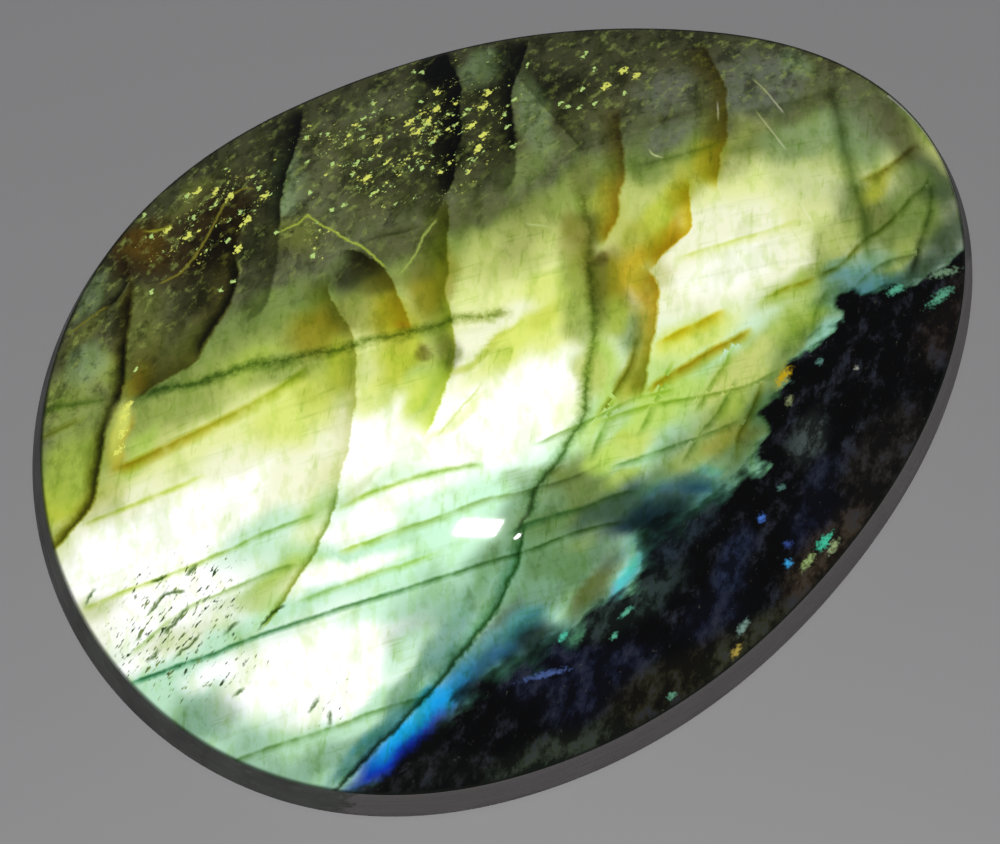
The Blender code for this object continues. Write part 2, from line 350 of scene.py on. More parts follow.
    (SOOT, 2.4, 8.8, 1.6, 0.7, 45, 0.7), (SOOT, 4.2, 11.9, 0.6, 1.2, -15, 0.85),
    (COAL, 4.3, 12.6, 0.7, 0.8, -10, 0.8), (SOOT, 6.9, 11.2, 0.5, 0.9, -30, 0.7),
    (SOOT, -2.9, 12.7, 1.2, 0.7, 45, 0.3), (SOOT, -0.2, 9.6, 1.6, 1.2, 0, 0.45),
    (SOOT, 8, 8.8, 1.8, 1, -30, 0.5), (SOOT, -8.6, 9.7, 1.8, 0.8, 40, 0.6),
    (COAL, -7, 10.7, 1, 0.7, 20, 0.45), (COAL, -6.2, 9.6, 0.9, 0.6, 45, 0.5),
    (SAGE, 6.3, 8.3, 0.6, 1.8, -15, 0.5), (OLIVE, 4.9, 2.7, 0.8, 0.8, 45, 0.8),
    (MOSS, 13.8, 1.6, 0.9, 0.7, 0, 0.5), (JADE, 12.2, -4.5, 0.7, 0.3, 0, 0.6),
    (KHAKI, 13.6, -2.5, 0.9, 0.5, 10, 0.5), (MINT, -12, -8.4, 0.9, 0.3, 10, 0.9),
    (WHITE, -16.2, -3.9, 1.2, 0.35, -15, 0.7), (LEAF, 6.2, -6.2, 0.8, 0.5, 30, 0.7),
    (KHAKI, 6.4, -5.5, 1.4, 0.4, 10, 0.7), (WILLOW, 7.8, 1.6, 0.9, 0.5, 35, 0.5),
    (FERN, 3.2, -7.4, 0.8, 0.4, 0, 0.6), (SAGE, 16.6, 0.8, 0.7, 0.8, 0, 0.5),
    (STRAW, -2.9, 3.3, 0.7, 0.5, 0, 0.5), (OLIVE, 4.1, 0.2, 0.45, 1.4, -30, 0.7),
    (OLIVE, 3.6, 1.3, 0.8, 0.2, 20, 0.35), (BROWN, -9.2, 12.6, 1.1, 0.6, 0, 0.5),
    (GOLD, -14.4, 6.1, 1.15, 0.36, 43, 1), (LEMON, -14.3, 6.25, 0.9, 0.22, 43, 0.9),
    # last, a few wide soft touches
    (LEAF, -13.4, -2.4, 1.9, 0.4, -16, 0.5), (LEAF, -16.4, -2.2, 1.7, 0.4, -16, 0.45),
    (LEAF, -18.5, 1, 0.7, 0.35, -16, 0.6), (LEAF, -8, -1.2, 1.2, 0.25, 5, 0.45),
    (OLIVE_GOLD, 4.3, 2.3, 0.6, 1.4, -30, 0.45), (LEAF, 3.2, 0.8, 0.7, 1.4, -30, 0.55),
    (OLIVE, 2.9, 4, 1.7, 0.9, 25, 0.4), (OLIVE_GOLD, -4.4, 4.6, 0.8, 1, 60, 0.35),
    (OLIVE, 12.3, 2.5, 1.8, 0.9, 15, 0.45), (SAGE, 14, 0.5, 1.3, 1.6, 0, 0.35),
    (KHAKI, 13.2, -1.3, 1, 0.7, 0, 0.4), (STRAW, -16.5, 4.4, 1.2, 0.7, -10, 0.45),
    (STRAW, 6.3, -0.5, 0.8, 0.7, 30, 0.55), (SEA, -8.6, -6.4, 1.8, 1, 20, 0.4),
    (LAGOON, -8.4, -8, 1.6, 0.5, 20, 0.55), (SLATE, -1, -8.3, 0.8, 0.7, 0, 0.5),
    (KHAKI, 7.6, -5.9, 1.1, 0.6, 15, 0.5), (JADE, 7.1, -7, 0.8, 0.5, 20, 0.6),
    (SEA, 3.2, -6.3, 1.2, 0.6, 10, 0.4), (SLATE, 2, -8.2, 1.6, 0.5, 0, 0.55),
    (MINT, -9.2, -1.3, 1, 0.7, 20, 0.4), (SEA, -2.5, -5.4, 1, 0.6, 0, 0.35),
)

# Painted highlight: the flash is painted brighter where the dome turns its layers square to the lamp.
PAINTED_PEAK = 0.20  # how much brighter it is there
PAINTED_PEAK_OVAL = (-4.5, -5.5, 5.5, 4.0)  # x, y, length, width
painted_peak = 1 + PAINTED_PEAK * brush(*PAINTED_PEAK_OVAL, soft=1.0)
flash = brush_colours(ground, GLOWS) * painted_peak[:, None]
store("flash", np.minimum(flash, WHITE))

SHADE_START = -0.5  # how far above the flash's edge the dark side starts, in millimetres
SHADE_DEPTH = 3.0  # and how far it is from there to the full dark
store("shade", np.clip((above - SHADE_START) / SHADE_DEPTH, 0, 1))


class Pattern:
    """Colours laid one over another in a node tree, each within a mask of its own."""

    def __init__(self, tree):
        self.tree = tree
        self.colour = None
        self.column = 0

    def node(self, kind, inputs=None, **settings):
        """Adds one node with its settings, and with each input a value or a link."""
        node = self.tree.nodes.new("ShaderNode" + kind)
        node.location = (180 * (self.column % 30), -260 * (self.column // 30))
        self.column += 1
        for name, value in settings.items():
            setattr(node, name, value)
        for key, value in (inputs or {}).items():
            if isinstance(value, bpy.types.NodeSocket):
                self.tree.links.new(value, node.inputs[key])
            else:
                node.inputs[key].default_value = value
        return node

    def math(self, operation, *values):
        """One Math node's result."""
        return self.node("Math", dict(enumerate(values)), operation=operation).outputs[0]

    def span(self, value, start, finish, low=0.0, high=1.0):
        """A value brought from one range to another, easing in and out and held at its ends."""
        inputs = {
            "Value": value,
            "From Min": start,
            "From Max": finish,
            "To Min": low,
            "To Max": high,
        }
        return self.node("MapRange", inputs, interpolation_type="SMOOTHSTEP").outputs[0]

    def turned(self, place, size, turn=0.0):
        """A place measured in a turned pattern's own steps, so that each step is one unit."""
        inputs = {"Vector": place, "Rotation": (0, 0, math.radians(turn)), "Scale": size}
        return self.node("Mapping", inputs, vector_type="TEXTURE").outputs[0]

    def noise(self, place, size, turn=0.0, detail=3.0, roughness=0.55):
        """A cloudy value about 0.5, flat or solid, with clouds of this size in millimetres."""
        inputs = {
            "Vector": self.turned(place, (*size, 1)[:3], turn),
            "Scale": 1.0,
            "Detail": detail,
            "Roughness": roughness,
        }
        return self.node("TexNoise", inputs, noise_dimensions=f"{len(size)}D").outputs["Fac"]

    def curve(self, value, knots):
        """A value read off a smooth curve through these knots, flat past its ends."""
        node = self.node("FloatCurve", {"Value": value})
        node.mapping.use_clip = False
        node.mapping.extend = "HORIZONTAL"
        points = node.mapping.curves[0].points
        points[0].location = knots[0]
        points[1].location = knots[-1]
        for knot in knots[1:-1]:
            points.new(*knot)
        node.mapping.update()
        return node.outputs[0]

    def kept(self, name, output="Fac"):
        """What was stored on the stone's mesh under a name."""
        node = self.node("Attribute", attribute_type="GEOMETRY", attribute_name=name)
        return node.outputs[output]

    def split(self, vector):
        """A vector's three numbers."""
        return self.node("SeparateXYZ", {0: vector}).outputs

    def lay(self, colour, mask, mode="MIX"):
        """Lays a colour over what is there, where the mask says."""
        if not isinstance(colour, bpy.types.NodeSocket):
            colour = (*colour, 1.0)
        inputs = {0: mask, 6: self.colour, 7: colour}
        mix = self.node("Mix", inputs, data_type="RGBA", blend_type=mode)
        self.colour = mix.outputs[2]

    def stain(self, colour, thickness):
        """Looks through a stain that lets this much colour through where it is thickest."""
        film = self.node("Gamma", {"Color": colour, "Gamma": thickness}).outputs[0]
        self.lay(film, 1.0, mode="MULTIPLY")


def new_material(name):
    """A material with its shader, its pattern and its place on the stone in millimetres."""
    material = bpy.data.materials.new(name)
    material.use_nodes = True
    pattern = Pattern(material.node_tree)
    shader = material.node_tree.nodes["Principled BSDF"]
    own = pattern.node("TexCoord").outputs["Object"]
    scale = {0: own, "Scale": 1 / MM}
    place = pattern.node("VectorMath", scale, operation="SCALE").outputs[0]
    return material, shader, pattern, place


face, face_shader, pattern, place = new_material("polished labradorite face")
pattern.colour = pattern.kept("flash", "Color")

# Cloudy at every scale, and streaked along the crystal's layers and across them.
LAYER_TURN = -16  # which way the layers run, in degrees
LEAN_TURN = 56  # which way the fractures lean


def lay_clouds(clouds, within=1.0, mode="MULTIPLY", **grain):
    """Lays clouds over the face: colour, size, turn, where they begin and are full, strength."""
    for colour, size, turn, thin, thick, strength in clouds:
        cloud = pattern.span(pattern.noise(place, size, turn, **grain), thin, thick, high=strength)
        pattern.lay(colour, pattern.math("MULTIPLY", cloud, within), mode=mode)


CLOUDS = (
    ((0.55, 0.66, 0.30), (2.6, 1.4), LEAN_TURN, 0.50, 0.72, 0.4),
    ((0.74, 0.86, 0.46), (0.9, 0.5), LEAN_TURN, 0.48, 0.66, 0.4),
    ((0.55, 0.66, 0.40), (5.0, 0.45), LAYER_TURN, 0.54, 0.80, 0.25),
)
lay_clouds(CLOUDS)

# Wherever the flash is not at its brightest, more clouds show.
DIM_CLOUDS = (
    ((0.40, 0.47, 0.18), (1.7, 0.9), LEAN_TURN, 0.52, 0.70, 0.4),
    ((0.45, 0.52, 0.25), (0.7, 0.45), LEAN_TURN + 20, 0.52, 0.70, 0.35),
)
dim = pattern.span(pattern.colour, 0.60, 0.25)
lay_clouds(DIM_CLOUDS, within=dim, detail=4, roughness=0.6)

# Short fine lines show in patches, some along the layers and some along the lean.
FINE_LINES = (
    ((0.62, 0.74, 0.38), (3.2, 0.17), LAYER_TURN, 0.61, 0.70, 0.40),
    ((0.62, 0.74, 0.38), (1.5, 0.24), LEAN_TURN - 8, 0.61, 0.70, 0.55),
)
patches = pattern.span(pattern.noise(place, (3.5, 2.2), LEAN_TURN), 0.40, 0.56)
patches = pattern.math("MULTIPLY", patches, pattern.span(pattern.colour, 1.0, 0.45))
lay_clouds(FINE_LINES, within=patches, detail=3, roughness=0.6)

# The dark side is mottled with black and with grey-green besides.
BLACK_MOTTLES = (
    ((0.28, 0.28, 0.25), (1.5, 0.9), 30, 0.50, 0.68, 0.75),
    ((0.35, 0.36, 0.30), (0.45, 0.28), -20, 0.54, 0.70, 0.6),
)
GREEN_MOTTLES = ((FERN, (0.6, 0.35), 15, 0.52, 0.76, 0.5),)
shade = pattern.kept("shade")
lay_clouds(BLACK_MOTTLES, within=shade, detail=4, roughness=0.62)
lay_clouds(GREEN_MOTTLES, within=shade, mode="MIX", detail=4, roughness=0.62)


# ---------------------------------------------------------------------------------------
# The fractures
#
# Old healed fractures cut the crystal into leaning blocks. Each block darkens towards the
# fracture on its right and starts bright and sharp beyond it, and iron has stained some
# gold, brown or black.
# ---------------------------------------------------------------------------------------

STEP = 0.3  # a little more than one face of the stone's mesh, in millimetres
UNMARKED = (9.0, 1.0, 1.0)  # what a face says that no mark has reached: nine reaches away


def bend(points, pieces=5):
    """A smooth bend through the points of a line."""
    points = np.array(points, dtype=float)
    padded = np.vstack((2 * points[0] - points[1], points, 2 * points[-1] - points[-2]))
    bent = []
    for before, here, after, beyond in zip(padded, padded[1:], padded[2:], padded[3:]):
        for part in np.arange(pieces) / pieces:
            slope = (after - before) * part
            curl = (2 * before - 5 * here + 4 * after - beyond) * part**2
            swing = (3 * here - before - 3 * after + beyond) * part**3
            bent.append(here + 0.5 * (slope + curl + swing))
    bent.append(points[-1])
    return np.array(bent)


def follow(line):
    """How far each vertex is to the left of a line, how far along it, and the line's length.

    Past its ends a line is taken to run straight on.
    """
    nearest = np.full(len(spots), np.inf)
    leftward = np.zeros(len(spots))
    along = np.zeros(len(spots))
    gone = 0.0
    for number, (start, end) in enumerate(zip(line, line[1:])):
        length = np.linalg.norm(end - start)
        ahead = (end - start) / length
        offset = spots - start
        low = 0 if number else -np.inf
        high = length if number < len(line) - 2 else np.inf
        progress = np.clip(offset @ ahead, low, high)
        gap = np.linalg.norm(offset - progress[:, None] * ahead, axis=1)
        side = ahead[0] * offset[:, 1] - ahead[1] * offset[:, 0]
        closer = gap < nearest
        nearest[closer] = gap[closer]
        leftward[closer] = np.copysign(gap, side)[closer]
        along[closer] = gone + progress[closer]
        gone += length
    return leftward, along, gone


corner_vertex = np.empty(len(mesh.loops), dtype=np.int32)
mesh.loops.foreach_get("vertex_index", corner_vertex)
face_corners = np.empty(len(mesh.polygons), dtype=np.int32)
mesh.polygons.foreach_get("loop_total", face_corners)
corner_face = np.repeat(np.arange(len(mesh.polygons)), face_corners)


class Sheet:
    """Marks kept on the stone's mesh, each face knowing the one mark that is nearest to it.

    A face's corners keep where they are from that mark, so that its edge can run sharply
    through the middle of a face, and they keep the mark's colour and strength.
    """

    def __init__(self, name):
        self.name = name
        self.nearest = np.full(len(mesh.polygons), np.inf)
        self.places = np.full((len(corner_vertex), 3), UNMARKED)
        self.tints = np.zeros((len(corner_vertex), 4))

    def add(self, places, colours, strength, far):
        """Gives a mark to the faces that are nearer to it than to the marks before it."""
        total = np.bincount(corner_face, weights=far[corner_vertex])
        distance = total / face_corners
        nearer = distance < self.nearest
        self.nearest[nearer] = distance[nearer]
        taken = nearer[corner_face]
        at = corner_vertex[taken]
        self.places[taken] = places[at]
        self.tints[taken, :3] = colours[at]
        self.tints[taken, 3] = strength[at]

    def add_line(self, first, last, strength, left, right, points, ends):
        """Adds a bent line that reaches this far to its left and right, and changes colour."""
        leftward, along, length = follow(bend(points))
        side = np.where(leftward > 0, leftward / max(left, STEP), -leftward / max(right, STEP))
        past = np.maximum(0, np.maximum(-along, along - length)) / STEP
        places = np.column_stack((leftward, np.full(len(spots), left), np.full(len(spots), right)))
        fade = np.clip(along / ends, 0, 1) * np.clip((length - along) / ends, 0, 1)
        change = np.clip(along / length, 0, 1)[:, None]
        colours = np.array(first) + change * (np.array(last) - first)
        self.add(places, colours, strength * fade, np.maximum(side, past))

    def keep(self):
        """Writes the marks to the mesh."""
        layer = mesh.attributes.new(self.name + " place", "FLOAT_VECTOR", "CORNER")
        layer.data.foreach_set("vector", self.places.astype(np.float32).ravel())
        layer = mesh.attributes.new(self.name + " tint", "FLOAT_COLOR", "CORNER")
        layer.data.foreach_set("color", self.tints.astype(np.float32).ravel())


# What a stain lets through of each colour of light.
GOLD_STAIN = (0.66, 0.50, 0.02)
AMBER_STAIN = (0.50, 0.30, 0.008)
LIME_STAIN = (0.55, 0.68, 0.10)
OLIVE_STAIN = (0.28, 0.28, 0.03)
MOSS_STAIN = (0.30, 0.42, 0.16)
SEA_STAIN = (0.20, 0.42, 0.28)
TEAL_STAIN = (0.08, 0.20, 0.20)
BROWN_STAIN = (0.28, 0.21, 0.08)
SMOKE_STAIN = (0.36, 0.38, 0.28)
BLACK_STAIN = (0.06, 0.06, 0.05)

# Where the longest fractures run. Some are laid twice, as a broad shade and as a dark seam.
LEFT_FRACTURE = (
    (-19.2, 4.1), (-18, 4.15), (-17, 4.45), (-16.3, 5), (-15.6, 5.8), (-14.9, 6.6),
    (-14, 7.25), (-13.2, 7.9), (-12.6, 8.8), (-12, 9.6), (-11.3, 10.5), (-10.9, 11.1),
)
UPPER_FRACTURE = (
    (-8, 6.9), (-7, 7.1), (-6.3, 7.7), (-5.7, 8.4), (-5.2, 9), (-4.9, 9.5),
    (-4.2, 10.6), (-3.5, 11.4), (-2.8, 12), (-2.1, 12.6), (-1.6, 13.3), (-1.1, 14),
)
LONG_FRACTURE = (
    (-14, -3.7), (-13.2, -3.4), (-12.3, -3), (-11.3, -2.6), (-10.5, -2.2), (-9.8, -1.8),
    (-9.1, -1.3), (-8.5, -0.6), (-7.8, 0), (-7, 0.9), (-6.4, 1.5), (-5.9, 2.3), (-5.4, 3.1),
    (-5.05, 3.8), (-4.92, 4.5), (-4.85, 5.3), (-4.75, 6), (-4.4, 6.5),
)
BLACK_FRACTURE = (
    (0, 6.2), (1.2, 6.9), (2, 7.5), (2.6, 8.3), (3.3, 9), (3.75, 9.8),
    (4.15, 10.4), (4.55, 11), (4.85, 12), (5.05, 12.9),
)
GREY_FRACTURE = (
    (2.9, 5.6), (3.9, 6.2), (4.5, 7), (5, 7.7), (5.4, 8.5), (5.85, 9.3), (6.3, 9.9),
    (7, 10.5), (7.6, 11), (8.2, 11.6),
)
BLUE_FRACTURE = (
    (-14.6, -10.1), (-13, -9.75), (-12, -9.6), (-11, -9.4), (-10, -9.2), (-9, -8.95), (-8, -8.65),
    (-7, -8.35), (-6, -7.95), (-5.2, -7.5), (-4.5, -7.05), (-3.9, -6.5), (-3.3, -5.95),
)
BEADED_FRACTURE = (
    (-3.3, -5.9), (-2.4, -5.2), (-1.5, -4.75), (-0.5, -4.35), (0.5, -3.9), (1, -3.4), (1.5, -2.8),
    (2.1, -2.2), (2.7, -1.5), (3.2, -0.8), (3.6, 0), (4.1, 0.9), (4.6, 1.8), (5.1, 2.5),
    (5.5, 3.4), (5.9, 4.4),
)

# Each line runs up the stone: stain at its start and its end, strength, reach to its left and
# right in millimetres, points. Neighbours take turns between two sheets, so that their
# shadows can overlap.
ODD_FRACTURES = (
    (OLIVE_STAIN, BROWN_STAIN, 0.9, 0.6, 0.2, LEFT_FRACTURE),
    (SMOKE_STAIN, BLACK_STAIN, 0.85, 1.4, 0.12, UPPER_FRACTURE),
    (GOLD_STAIN, BLACK_STAIN, 0.95, 1.5, 0.08, (
        (-3, 2.7), (-2.75, 3.5), (-2.55, 4.2), (-2.45, 5), (-2.45, 5.7), (-2.6, 6.3), (-2.9, 6.9),
        (-3.4, 7.2),
    )),
    (SMOKE_STAIN, BLACK_STAIN, 1.0, 2.2, 0.12, BLACK_FRACTURE),
    (AMBER_STAIN, BROWN_STAIN, 0.9, 0.9, 0.15, (
        (5.2, 1.7), (5.9, 2.2), (6.5, 2.7), (7, 3.3), (7.6, 4), (8.1, 4.7), (8.5, 5.4), (9.2, 6.6),
    )),
    (GOLD_STAIN, BROWN_STAIN, 0.9, 1.3, 0.1, (
        (10.3, 1.4), (10.9, 2), (11.5, 2.75), (12.1, 3.2), (12.6, 3.9), (12.95, 4.5),
        (13.3, 5), (13.55, 5.8), (13.8, 6.8), (14, 7.6),
    )),
    (OLIVE_STAIN, AMBER_STAIN, 0.95, 0.9, 0.15, (
        (3, -4.3), (3.5, -3.8), (4.2, -3), (4.8, -2.35), (5.2, -1.9), (5.6, -1.5), (6, -0.8),
        (6.1, 0.1),
    )),
    (TEAL_STAIN, SEA_STAIN, 0.95, 0.5, 0.15, BLUE_FRACTURE),
)
EVEN_FRACTURES = (
    (BROWN_STAIN, BROWN_STAIN, 0.9, 2.2, 0.12, (
        (-13.3, 7), (-12, 6.9), (-10.8, 6.8), (-10, 7), (-9, 7.5), (-8.1, 8), (-7.3, 8.8),
        (-6.9, 9.6), (-6.3, 10.3), (-5.4, 10.9), (-4.9, 11.5),
    )),
    ((0.92, 0.97, 0.60), OLIVE_STAIN, 0.9, 1.2, 0.1, LONG_FRACTURE),
    (LIME_STAIN, OLIVE_STAIN, 0.95, 1.2, 0.1, (
        (-4.9, -1), (-4.1, -0.5), (-3.2, 0.1), (-2.5, 0.7), (-2, 1.3), (-1.5, 2.1), (-1.25, 2.7),
        (-1, 3.4), (-0.6, 4), (-0.2, 4.6), (0.2, 5.2), (0.7, 5.8), (1.2, 6.8),
    )),
    (SMOKE_STAIN, BLACK_STAIN, 0.95, 2.4, 0.12, GREY_FRACTURE),
    (SMOKE_STAIN, SMOKE_STAIN, 0.7, 0.1, 1.8, (
        (6.9, 5.2), (6.9, 6), (6.85, 7), (6.8, 8), (6.8, 9), (6.7, 10), (6.7, 11), (6.7, 12),
    )),
    (AMBER_STAIN, GOLD_STAIN, 0.9, 1.0, 0.1, (
        (6.2, -0.15), (7, 0.15), (7.8, 0.35), (8.5, 0.6), (9, 1.2), (9.4, 1.9), (9.65, 2.4),
    )),
    (MOSS_STAIN, SMOKE_STAIN, 0.9, 0.5, 0.5, (
        (14.0, -4.2), (14.5, -3.2), (14.9, -2.5), (15.2, -1.8), (15.5, -0.8), (15.8, 0),
        (16.1, 0.8), (16.5, 1.7), (16.8, 2.5), (17.2, 3.3),
    )),
    ((0.60, 0.70, 0.38), (0.55, 0.60, 0.22), 0.7, 0.3, 0.9, BEADED_FRACTURE[4:13]),
)
SEAMS = (
    (BLACK_STAIN, BLACK_STAIN, 0.95, 0.8, 0.08, (*BLACK_FRACTURE[1:], (5.1, 13.2))),
    (BLACK_STAIN, BLACK_STAIN, 0.7, 0.6, 0.08, (*UPPER_FRACTURE[5:-1], (-1.0, 14.2))),
    (BLACK_STAIN, BLACK_STAIN, 0.85, 0.5, 0.08, (GREY_FRACTURE[2], *GREY_FRACTURE[4:])),
    (OLIVE_STAIN, BLACK_STAIN, 0.9, 0.35, 0.15, LEFT_FRACTURE[:10]),
    (BROWN_STAIN, BROWN_STAIN, 0.8, 0.4, 0.2, (*LEFT_FRACTURE[9:], (-10.6, 11.9), (-10.3, 12.7))),
    (BLACK_STAIN, BLACK_STAIN, 0.8, 0.3, 0.1, ((-12.6, 11), (-11.6, 11.05), (-11, 11.4), (-10.4, 12))),
    (BLACK_STAIN, BLACK_STAIN, 0.85, 0.4, 0.1, (
        (-10.4, 6.9), (-9.4, 7.4), (-8.6, 7.8), (-7.8, 8.3), (-7.3, 8.8), (-6.9, 9.6),
    )),
    (MOSS_STAIN, MOSS_STAIN, 0.8, 0.3, 0.2, (
        (-16.8, 9.1), (-15.9, 8.8), (-15.2, 8.3), (-14.6, 8), (-13.9, 7.6),
    )),
    (OLIVE_STAIN, OLIVE_STAIN, 0.5, 0.25, 0.15, ((-17.4, 8.2), (-16.2, 7.9), (-15.2, 7.6))),
    (SMOKE_STAIN, SMOKE_STAIN, 0.7, 0.3, 0.1, ((-2.7, 7), (-1.8, 6.8), (-1, 6.5), (-0.1, 6.35))),
    (BLACK_STAIN, MOSS_STAIN, 0.5, 0.16, 0.14, ((-4, -6.1), (-3.3, -5.8), *BEADED_FRACTURE[1:8])),
    (OLIVE_STAIN, MOSS_STAIN, 0.8, 0.25, 0.10, ((-14, -3.65), *LONG_FRACTURE[1:7], (-8.6, -0.7))),
    (BLACK_STAIN, MOSS_STAIN, 0.8, 0.16, 0.12, ((-15.2, -10.2), *BLUE_FRACTURE)),
)

# Lines quiver, and their edges are a little torn.
QUIVER = 0.30  # how far a line strays in millimetres, over a millimetre or so
TEAR = 0.16  # the same, over a tenth of that
slow = pattern.math("MULTIPLY", pattern.noise(place, (1.6, 1.6), detail=1), QUIVER)
quick = pattern.math("MULTIPLY", pattern.noise(place, (0.25, 0.25), detail=2), TEAR)
stray = pattern.math("SUBTRACT", pattern.math("ADD", slow, quick), (QUIVER + TEAR) / 2)

LINE_FADE = ((0, 1), (0.12, 0.85), (0.45, 0.42), (1, 0))  # away from a line: reaches, strength


def lay_lines(name, lines, waver=1.0, breaks=1.0, bright=False, ends=0.6):
    """Keeps a sheet of lines on the mesh and lays them over the face, wavering this much.

    Bright lines hide what is under them, and the others stain it. They fade out over this
    many millimetres at their ends.
    """
    sheet = Sheet(name)
    for line in lines:
        sheet.add_line(*line, ends)
    sheet.keep()
    leftward, left, right = pattern.split(pattern.kept(name + " place", "Vector"))
    leftward = pattern.math("ADD", leftward, pattern.math("MULTIPLY", stray, waver))
    to_left = pattern.math("DIVIDE", leftward, left)
    to_right = pattern.math("DIVIDE", pattern.math("MULTIPLY", leftward, -1), right)
    cover = pattern.curve(pattern.math("MAXIMUM", to_left, to_right), LINE_FADE)
    cover = pattern.math("MULTIPLY", cover, pattern.kept(name + " tint", "Alpha"))
    cover = pattern.math("MULTIPLY", cover, breaks)
    tint = pattern.kept(name + " tint", "Color")
    if bright:
        pattern.lay(tint, cover)
    else:
        pattern.stain(tint, cover)


lay_lines("odd fractures", ODD_FRACTURES)
lay_lines("even fractures", EVEN_FRACTURES)
lay_lines("seams", SEAMS, waver=0.8)


# ---------------------------------------------------------------------------------------
# The twin layers
#
# The crystal grew as a stack of thin twinned sheets, seen edge on as fine green lines that
# slope gently down to the right across every block.
# ---------------------------------------------------------------------------------------

